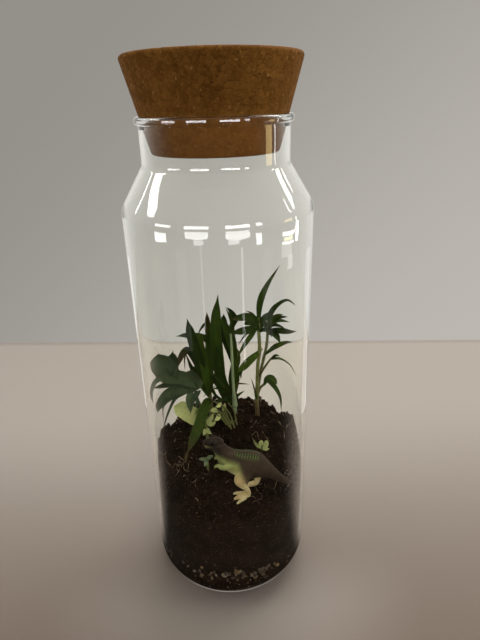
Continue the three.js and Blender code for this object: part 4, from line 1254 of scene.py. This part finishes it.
class TERRARIUM_OT_plants(Operator):
    """Grows the seedlings, the frond, the creeper and the sprigs leaf by leaf"""

    bl_idname = "terrarium.plants"
    bl_label = "Plants"

    def execute(self, context):
        look = context.scene.terrarium_leaf
        stems = stem_finish("stems", look, look.stem_high, 0.28)
        green = leaf_finish("palm_leaf", look, look.deep, look.fresh)
        palm = [green, stems]
        young = [green, stem_finish("pale_stems", look, look.pale_stem, 0)]
        grey_leaf = leaf_finish("grey_green_leaf", look, look.grey_deep, look.grey_fresh)
        grey = [grey_leaf, stem_finish("grey_stems", look, look.grey_fresh, 0.3)]
        petioles = stem_finish("petioles", look, look.stem_high, -0.2)
        pale = [leaf_finish("speckled_leaf", look, look.cream, look.cream, specks=True), petioles]
        sprig = [leaf_finish("olive_leaf", look, look.grey_fresh, look.pale_stem), stems]
        grow("seedling_right", "palm_seedling_right", PALM_RIGHT, 1, palm)
        grow("seedling_centre", "palm_seedling_centre", PALM_CENTRE, 2, young)
        grow("seedling_left", "palm_seedling_left", PALM_LEFT, 3, palm)
        grow("frond_left", "grey_green_frond", GREY_FROND, 4, grey)
        grow("creeper_crown", "variegated_creeper", CREEPER, 5, pale)
        grow("creeper_shoot", "creeper_runner", RUNNER, 6, pale)
        grow("sprig_right", "pale_sprig", PALE_SPRIG, 7, pale)
        grow("sprig_front", "front_sprig", FRONT_SPRIG, 8, sprig)
        return {"FINISHED"}


# Toy figure

# Each limb is a line of (x, y, z, half-height, half-width)
FIGURE_TRUNK = (
    (-6.6, -25.7, 99.6, 2.7, 2.2), (-4.3, -25.3, 96.5, 3.7, 3), (-2.3, -25, 93, 4.6, 3.7),
    (0.4, -24.8, 89.6, 5.9, 4.7), (4.4, -24.6, 86.9, 7, 5.5), (8.7, -24.4, 85.2, 7.9, 6.2),
    (12.8, -24.2, 83.9, 7.7, 6.1), (17, -23.4, 81.1, 5.5, 4.4), (21.3, -22.6, 77.4, 3.5, 2.8),
    (25.1, -22, 73.7, 2.5, 2), (29, -21.2, 70, 1.8, 1.4), (33.2, -20.4, 66.3, 0.8, 0.7),
)
FIGURE_LIMBS = [
    # Head, trunk with neck and tail, and lower jaw
    ((-12.3, -26.4, 101.2, 1.2, 1.2), (-10.6, -26.3, 101.6, 1.7, 1.9), (-8.2, -26, 101.5, 2.3, 2.3),
     (-5.6, -25.7, 100.8, 2.9, 2.6), (-3.4, -25.5, 99.6, 2.3, 1.9)),
    FIGURE_TRUNK,
    ((-11.9, -26.3, 98.9, 0.6, 0.9), (-10, -26.2, 98.6, 0.9, 1.5), (-7.4, -26, 98, 1.2, 1.9),
     (-4.6, -25.6, 98, 1.5, 1.9)),
    # Near leg and two of its toes, then the far leg with its foot
    ((10.5, -27, 84.5, 4.6, 3.4), (7.2, -29, 82, 4.2, 3.1), (5, -30, 79.6, 3, 2.6),
     (6, -29.8, 76.8, 2.1, 2), (8, -29.3, 73.6, 1.5, 1.4), (9.1, -29, 70.6, 1.4, 1.3),
     (9, -28.7, 68.2, 1.3, 1.3)),
    ((9.8, -28.7, 69, 1.5, 1.4), (7, -28.7, 68.5, 1.7, 1.8), (4.6, -28.8, 67.7, 1.3, 1.3),
     (2.8, -29.2, 67.1, 0.9, 0.8), (1.6, -29.4, 66.6, 0.45, 0.4)),
    ((7.6, -27.9, 68.6, 1.5, 1.3), (4.6, -26.8, 68.2, 1, 0.9), (2.6, -26.4, 67.8, 0.8, 0.7),
     (1.4, -26.4, 67.3, 0.4, 0.35)),
    ((14, -20.8, 78.5, 3, 2.2), (15, -19, 72.5, 2, 1.7), (14.2, -18.5, 67.4, 1.5, 1.5),
     (11.4, -18.7, 66.2, 1.3, 1.4), (9.4, -19, 65.8, 0.9, 1)),
    # Near arm and its two fingers, then the far arm
    ((2, -28, 88.6, 2, 1.5), (-1, -29.7, 88.3, 1.6, 1.3), (-3.7, -30.2, 88.6, 1.3, 1),
     (-5.5, -30.4, 90.3, 1, 0.8)),
    ((-5.2, -30.4, 90.2, 0.9, 0.7), (-6.6, -30.7, 90.4, 0.6, 0.5), (-7.4, -30.8, 89.3, 0.4, 0.35)),
    ((-5, -30, 89.9, 0.8, 0.6), (-6, -29.5, 89.4, 0.55, 0.5), (-6.7, -29.4, 88.3, 0.4, 0.35)),
    ((-0.4, -22, 88.4, 1.7, 1.4), (-4.6, -21.4, 87.2, 1.2, 1), (-6.4, -21.7, 88, 0.9, 0.8),
     (-7.5, -21.9, 87.2, 0.5, 0.4)),
    # Brows, nostrils, and the outer toe of each foot
    ((-9.2, -28, 102.9, 0.5, 0.4), (-7.4, -28.1, 103.3, 0.8, 0.6), (-5.6, -27.7, 103, 0.5, 0.5)),
    ((-9.2, -24.3, 102.9, 0.5, 0.4), (-7.4, -24, 103.3, 0.8, 0.6), (-5.6, -24, 103, 0.5, 0.5)),
    ((-12.2, -27.1, 101.9, 0.5, 0.5), (-11.2, -27.2, 102.6, 0.6, 0.5)),
    ((-12.2, -25.6, 101.9, 0.5, 0.5), (-11.2, -25.5, 102.6, 0.6, 0.5)),
    ((7.6, -29.6, 68, 1.4, 1.2), (5.2, -31, 67.2, 0.9, 0.9), (3.8, -31.8, 66.6, 0.7, 0.6),
     (2.9, -32.2, 66.2, 0.35, 0.3)),
    ((12.4, -18, 66, 1, 0.9), (10.2, -17.2, 65.8, 0.7, 0.7)),
]
FIGURE_EYES = ((-7.9, -28.35, 101.9), (-7.9, -23.75, 101.9))
FIGURE_SIDES = 20
FIGURE_VOXEL = 0.27
SCUTES = 20


def limb_rings(stations, steps):
    """Rings of a moulded limb, each point with its height from belly (-1) to back (1)."""
    path = [station[:3] for station in stations]
    sizes = [(tall, wide, 0) for *_, tall, wide in stations]
    for i in range(steps + 1):
        at = i / steps
        along = curve_direction(path, at)
        across = (Vector((0, 1, 0)) - along * along.y).normalized()
        up = along.cross(across)
        tall, wide, _ = curve_point(sizes, at)
        spot = curve_point(path, at)
        yield [
            (spot + across * wide * math.cos(turn) + up * tall * math.sin(turn), math.sin(turn))
            for turn in turns(FIGURE_SIDES)
        ]


def scutes():
    """A row of small plates along the ridge of the neck, back and tail, as short limbs."""
    top = FIGURE_SIDES // 4
    ridge = [ring[top][0] for ring in limb_rings(FIGURE_TRUNK, SCUTES)]
    for i, spot in enumerate(ridge[2:-2]):
        size = between(0.75, 0.4, abs(i - 7) / 10)
        front, rear = spot - Vector((0.5, 0, 0.3)), spot + Vector((0.4, 0, 0))
        yield [(*front, size, size * 0.7), (*rear, size * 0.5, size * 0.4)]


def figure_bodies():
    """Points, faces, and heights from belly to back, of all limbs as closed bodies that overlap."""
    points, faces, heights = [], [], []
    for stations in (*FIGURE_LIMBS, *scutes()):
        steps = 8 * (len(stations) - 1)
        faces += tube_faces(len(points), steps + 1, FIGURE_SIDES)
        for ring in limb_rings(stations, steps):
            points += [spot for spot, _ in ring]
            heights += [height for _, height in ring]
    return points, faces, heights


def moulded(context, mesh):
    """One soft skin over the bodies of a mesh."""
    made = bpy.data.objects.new("theropod_mould", mesh)
    context.collection.objects.link(made)
    skin = made.modifiers.new("skin", "REMESH")
    skin.mode, skin.voxel_size = "VOXEL", FIGURE_VOXEL * MM
    smooth = made.modifiers.new("soften", "SMOOTH")
    smooth.factor, smooth.iterations = 0.5, 2
    context.view_layer.update()
    shaped = bpy.data.meshes.new_from_object(made.evaluated_get(context.evaluated_depsgraph_get()))
    bpy.data.objects.remove(made)
    return shaped


def figure_finish(look):
    """Painted plastic: a dark back and flank over a pale belly and legs."""
    finish = Finish("moulded_plastic")
    x, z = (finish.axis(name) / MM for name in "XZ")
    height = finish.mark("height")
    cloud = finish.noise(300, 3)
    drift = cloud * 2.4 - 1.2
    # Dark above a line down the flank and behind one over the haunch, but not below the knee
    flank = (z + x * 0.45 + drift).ramp(89, 93.6)
    haunch = (x + z * 0.38 + drift).ramp(36, 40.2)
    above_knee = z.ramp(73.8, 78.6).maths("MAXIMUM", x.ramp(17, 19))
    dark = flank.maths("MAXIMUM", haunch) * above_knee
    hide = finish.cells(1300, feature="DISTANCE_TO_EDGE").ramp(0, 0.22)
    cell = finish.cell_tone(1300)
    back = finish.mix(cloud.ramp(0.35, 0.7) * 0.5 + cell * 0.3, look.back, look.worn)
    back = finish.mix(x.ramp(-1, -5) * 0.75, back, look.shade)
    # A row of green flecks between the neck and the tail
    saddle = x.ramp(2, 4.5) * x.ramp(16, 13.5)
    back = finish.mix(height.ramp(0.78, 0.94) * saddle, back, look.shade)
    dashes = (x * 4.2 - z * 2.6 + cloud).sine().ramp(-0.1, 0.5)
    flecks = dashes * height.ramp(0.79, 0.84) * height.ramp(0.975, 0.93) * saddle
    back = finish.mix(flecks * 0.65, back, look.stripe)
    front = finish.mix(z.ramp(87, 80), look.belly, look.legs)
    front = finish.mix((1 - hide) * 0.35 + cell * 0.2, front, look.stripe)
    front = finish.mix(cloud.ramp(0.3, 0.65) * z.ramp(88, 80) * 0.6, front, look.ochre)
    ground = finish.mix(dark, front, back)
    # A pale line along the mouth
    mouth = abs(z + x * 0.12 - 98.7).ramp(1, 0.5) * x.ramp(-7.5, -9.5)
    lips = mouth * finish.noise(900, 2).ramp(0.4, 0.6)
    ground = finish.mix(lips * 0.8, ground, look.belly)
    shine = hide * 0.1
    for spot in FIGURE_EYES:
        eye = tuple(value * MM for value in spot)
        away = finish.vector("DISTANCE", {0: finish.place, 1: eye}, "Value") / MM
        ground = finish.mix(away.ramp(0.75, 0.55), ground, look.eye)
        shine = shine + away.ramp(0.7, 0.5) * 0.3
    return finish.done(finish.principled(
        Base_Color=ground, Roughness=0.52 - shine, Specular_IOR_Level=0.16,
        Normal=finish.bump(hide * 0.7 + cloud, 0.6, 0.0004),
    ))


class TERRARIUM_OT_figure(Operator):
    """Moulds the toy theropod as one skin over its limbs and paints it by height"""

    bl_idname = "terrarium.figure"
    bl_label = "Toy theropod"

    def execute(self, context):
        look = context.scene.terrarium_figure
        points, faces, heights = figure_bodies()
        shaped = moulded(context, mesh_of("theropod_mould", points, faces))
        near = KDTree(len(points))
        for i, spot in enumerate(points):
            near.insert(spot * MM, i)
        near.balance()
        found = [
            np.mean([heights[i] for _, i, _ in near.find_n(vertex.co, 4)]) for vertex in shaped.vertices
        ]
        layer = shaped.attributes.new("height", "FLOAT", "POINT")
        layer.data.foreach_set("value", np.array(found, np.float32))
        piece("theropod", shaped, ["theropod_figure"], [figure_finish(look)])
        return {"FINISHED"}


# Stage

FLOOR_RADIUS = 4
FLOOR_SIDES = 96
# The camera's place in mm, its angles down, to the side and round its own axis, and its lens
CAMERA_SPOT = (0, -222.9, 256.2)
CAMERA_DOWN = math.radians(24.314)
CAMERA_YAW = math.radians(2.183)
CAMERA_ROLL = math.radians(1.565)
CAMERA_LENS = 27.36
CAMERA_SENSOR = 36
WHITE = (1, 1, 1)
AMBER = (1, 0.76, 0.32)
STRAW = (1, 0.95, 0.5)
# Soft lamps: name, place, what it points at and size in metres, and the setting of its power
LAMPS = [
    ("lamp_key", (0.25, 0.42, 0.95), (0, 0.03, 0.1), (0.8, 0.6), "key"),
    ("lamp_left", (-0.75, -0.05, 0.5), (0, 0, 0.16), (0.3, 0.6), "fill"),
    ("lamp_right", (0.75, -0.1, 0.55), (0, 0, 0.17), (0.3, 0.5), "fill"),
    ("lamp_front", (0.35, -0.9, 0.8), (0, 0, 0.2), (0.5, 0.5), "front"),
]
# Lamps that only the glass mirrors: place and size in metres, power, and a tint where it isn't white
GLINT_TARGET = (0, 0, 0.18)
GLINTS = [
    # Left and right edges of the shoulder
    ((-0.79, 0.19, 0.67), (0.16, 0.1), 0.75),
    ((-0.8, 0.06, 0.665), (0.2, 0.1), 0.95),
    ((-0.78, 0.38, 0.54), (0.03, 0.14), 0.2),
    ((0.79, 0.25, 0.62), (0.1, 0.13), 0.6),
    ((0.76, 0.4, 0.6), (0.03, 0.14), 0.2),
    ((0.83, 0.1, 0.6), (0.025, 0.13), 0.16),
    ((0.363, 0.05, 0.132), (0.03, 0.04), 0.08),
    # The curve under the shoulder
    ((-0.849, -0.391, 0.3), (0.34, 0.16), 2.8),
    ((-0.4, -0.845, 0.34), (0.46, 0.24), 6),
    ((0.33, -0.883, 0.34), (0.46, 0.24), 6.5),
    ((0.64, -0.65, 0.34), (0.11, 0.24), 1.2),
    # The wall just below it
    ((-0.345, -0.145, 0.127), (0.1, 0.014), 0.07),
    ((-0.159, -0.347, 0.134), (0.17, 0.018), 0.12),
    ((-0.148, -0.35, 0.121), (0.07, 0.009), 0.014),
    ((0.128, -0.359, 0.131), (0.178, 0.016), 0.11),
    ((0.1, -0.37, 0.119), (0.08, 0.007), 0.014),
    ((0.259, -0.276, 0.122), (0.045, 0.018), 0.04),
    ((0.367, -0.04, 0.124), (0.13, 0.006), 0.036),
    ((0.365, -0.045, 0.117), (0.09, 0.005), 0.016, STRAW),
    ((0.365, -0.049, 0.111), (0.12, 0.004), 0.02),
    # Soft streaks down the wall
    ((0.18, -0.045, 0.156), (0.05, 0.01), 0.004),
    ((0.181, -0.028, 0.147), (0.026, 0.01), 0.0025),
    ((0.071, -0.174, 0.12), (0.008, 0.085), 0.008),
    ((-0.064, -0.181, 0.132), (0.006, 0.066), 0.0025),
    ((-0.124, -0.142, 0.124), (0.04, 0.075), 0.004),
    ((0.144, -0.119, 0.121), (0.04, 0.075), 0.004),
    # Bright edges of the wall
    ((-0.106, 0.116, 0.092), (0.03, 0.12), 0.006),
    ((0.135, 0.088, 0.09), (0.05, 0.13), 0.009),
    # Amber strip on the neck
    ((0.617, -0.071, 0.202), (0.13, 0.11), 0.26, AMBER),
    ((0.614, 0.07, 0.202), (0.02, 0.12), 0.08),
]
# Bounces of a glint's light: enough for the glass to mirror it, and too few to light what is inside
GLINT_BOUNCES = 3


def floor_finish(look):
    """A matt floor with painted shade towards the front, lighter through the glass, that fades into the
    surround far away.
    """
    finish = Finish("pale_floor")
    away = finish.vector("LENGTH", {0: finish.place}, "Value")
    x, y = finish.axis("X"), finish.axis("Y")
    # Painted shade: the floor darkens towards the front of the jar
    tone = finish.mix(y.ramp(-0.1, 0.16), look.shaded_floor, look.floor)
    # Light that the glass gathers in front of the foot
    foot = away.ramp(0.12, 0.042) * y.ramp(0, -0.05)
    tone = finish.mix(foot * 0.65, tone, look.floor)
    tone = finish.lifted(tone, look.glow)
    # A dim strip along the far edge, which runs a little askew
    far = y + x * 0.084
    tone = finish.mix(far.ramp(0.276, 0.281) * 0.3, tone, look.shaded_floor)
    # What the glass mirrors: hardly any floor in front of it, and a bright ring under its foot
    side = (y + x * 0.12) / abs(x)
    ahead = side.ramp(0.25, -0.25) * away.ramp(0.035, 0.044) * away.ramp(0.68, 0.52)
    mirrored = finish.path("Glossy Depth").maths("MINIMUM", 1)
    tone = finish.mix(mirrored * ahead * 0.95, tone, (0, 0, 0))
    under = finish.mix(mirrored * away.ramp(0.04, 0.036), (0, 0, 0), look.floor)
    ground = finish.principled(
        Base_Color=tone, Roughness=0.75, Specular_IOR_Level=0.15, Emission_Color=under,
        Emission_Strength=2,
    )
    faded = 1 - (1 - far.ramp(0.28, 0.288)) * away.ramp(1.1, 0.42)
    clear = finish.add("ShaderNodeBsdfTransparent")
    return finish.done(finish.either(faded, ground, clear))


def lay_floor(look):
    """A round floor, which is no part of the object."""
    plane = bmesh.new()
    bmesh.ops.create_circle(plane, cap_ends=True, segments=FLOOR_SIDES, radius=FLOOR_RADIUS)
    mesh = bpy.data.meshes.new("floor")
    plane.to_mesh(mesh)
    plane.free()
    mesh.materials.append(floor_finish(look))
    floor = bpy.data.objects.new("floor", mesh)
    bpy.context.collection.objects.link(floor)
    floor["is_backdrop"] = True


def room_finish(look, world):
    """A pale surround that is seen, and a room with a bright side that lights and is mirrored."""
    sky = Finish("studio", world)
    behind = (sky.axis("Y") * 0.8 + sky.axis("Z") * 0.6).ramp(-0.5, 0.7)
    room = sky.mix(behind, look.dim, look.bright)
    lightness = (sky.axis("X") - sky.axis("Z") * 1.1).ramp(-0.4, 1)
    seen = sky.lifted(sky.mix(lightness, look.surround, look.surround_light), look.glow)
    scattered = sky.path("Glossy Depth") + sky.path("Diffuse Depth")
    room = sky.mix(scattered.maths("MINIMUM", 1), seen, room)
    light = sky.add("ShaderNodeBackground", None, {"Color": room, "Strength": 1})
    sky.done(light, "World")


def soft_lamp(name, place, target, size, strength):
    """A rectangular lamp that lights but isn't seen."""
    light = bpy.data.lights.new(name, "AREA")
    light.shape, light.size, light.size_y = "RECTANGLE", *size
    light.energy = strength
    lamp = bpy.data.objects.new(name, light)
    lamp.location = place
    lamp.rotation_mode = "QUATERNION"
    lamp.rotation_quaternion = (Vector(target) - Vector(place)).to_track_quat("-Z", "Y")
    lamp.visible_camera = lamp.visible_transmission = False
    bpy.context.collection.objects.link(lamp)
    return lamp


def set_lamps(look):
    """The soft lamps, of which the glass mirrors only the key, and the glints."""
    for name, place, target, size, setting in LAMPS:
        lamp = soft_lamp(name, place, target, size, getattr(look, setting))
        lamp.visible_glossy = setting == "key"
    for i, (place, size, strength, *tint) in enumerate(GLINTS):
        glint = soft_lamp(f"glint_{i + 1}", place, GLINT_TARGET, size, strength * look.glint)
        glint.visible_diffuse = False
        glint.data.color = tint[0] if tint else WHITE
        glint.data.cycles.max_bounces = GLINT_BOUNCES
        glint.light_linking.receiver_collection = mirrors()


def camera_turn():
    """The camera's rotation: down and to the side, then round its own axis."""
    ahead = Vector((
        math.sin(CAMERA_YAW) * math.cos(CAMERA_DOWN), math.cos(CAMERA_YAW) * math.cos(CAMERA_DOWN),
        -math.sin(CAMERA_DOWN),
    ))
    level = Vector((math.cos(CAMERA_YAW), -math.sin(CAMERA_YAW), 0))
    below = ahead.cross(level)
    right = level * math.cos(CAMERA_ROLL) + below * math.sin(CAMERA_ROLL)
    down = below * math.cos(CAMERA_ROLL) - level * math.sin(CAMERA_ROLL)
    return Matrix((right, -down, -ahead)).transposed().to_4x4()


def set_camera(context):
    """The camera at the photograph's angle."""
    view = bpy.data.cameras.new("camera")
    view.lens, view.sensor_width, view.clip_start = CAMERA_LENS, CAMERA_SENSOR, 0.01
    camera = bpy.data.objects.new("camera", view)
    camera.matrix_world = Matrix.Translation(Vector(CAMERA_SPOT) * MM) @ camera_turn()
    context.collection.objects.link(camera)
    context.scene.camera = camera


class TERRARIUM_OT_stage(Operator):
    """Sets the pale floor, the soft lamps and the camera at the photograph's angle"""

    bl_idname = "terrarium.stage"
    bl_label = "Floor, lights and camera"

    def execute(self, context):
        look, scene = context.scene.terrarium_stage, context.scene
        lay_floor(look)
        scene.world = scene.world or bpy.data.worlds.new("studio")
        room_finish(look, scene.world)
        set_lamps(look)
        set_camera(context)
        scene.view_settings.view_transform = "Standard"
        return {"FINISHED"}


class TERRARIUM_PT_panel(Panel):
    """Lists the pieces of the planted jar"""

    bl_label = "Terrarium"
    bl_idname = "TERRARIUM_PT_panel"
    bl_space_type = "VIEW_3D"
    bl_region_type = "UI"
    bl_category = "Terrarium"

    def draw(self, context):
        for settings, _, operators in PARTS:
            box = self.layout.box()
            group = getattr(context.scene, settings)
            for name in group.bl_rna.properties.keys():
                if name not in ("rna_type", "name"):
                    box.prop(group, name)
            for operator in operators:
                box.operator(operator.bl_idname)


# The scene's property, its settings and the operators that read them, in the order in which they run
PARTS = [
    ("terrarium_stage", StageSettings, [TERRARIUM_OT_stage]),
    ("terrarium_jar", JarSettings, [TERRARIUM_OT_jar]),
    ("terrarium_cork", CorkSettings, [TERRARIUM_OT_cork]),
    ("terrarium_ground", GroundSettings, [TERRARIUM_OT_gravel, TERRARIUM_OT_soil]),
    ("terrarium_leaf", LeafSettings, [TERRARIUM_OT_plants]),
    ("terrarium_figure", FigureSettings, [TERRARIUM_OT_figure]),
]
OPERATORS = [operator for _, _, operators in PARTS for operator in operators]
CLASSES = [*(group for _, group, _ in PARTS), *OPERATORS, TERRARIUM_PT_panel]


def register():
    for each in CLASSES:
        bpy.utils.register_class(each)
    for name, group, _ in PARTS:
        setattr(bpy.types.Scene, name, PointerProperty(type=group))


def unregister():
    for name, _, _ in PARTS:
        delattr(bpy.types.Scene, name)
    for each in reversed(CLASSES):
        bpy.utils.unregister_class(each)


def main():
    register()
    for operator in OPERATORS:
        group, action = operator.bl_idname.split(".")
        getattr(getattr(bpy.ops, group), action)()
    sizes = {"cad": CAD_BOX, "visual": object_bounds()}
    {name: [list(corner) for corner in box] for name, box in sizes.items()}


if __name__ == "__main__":
    main()
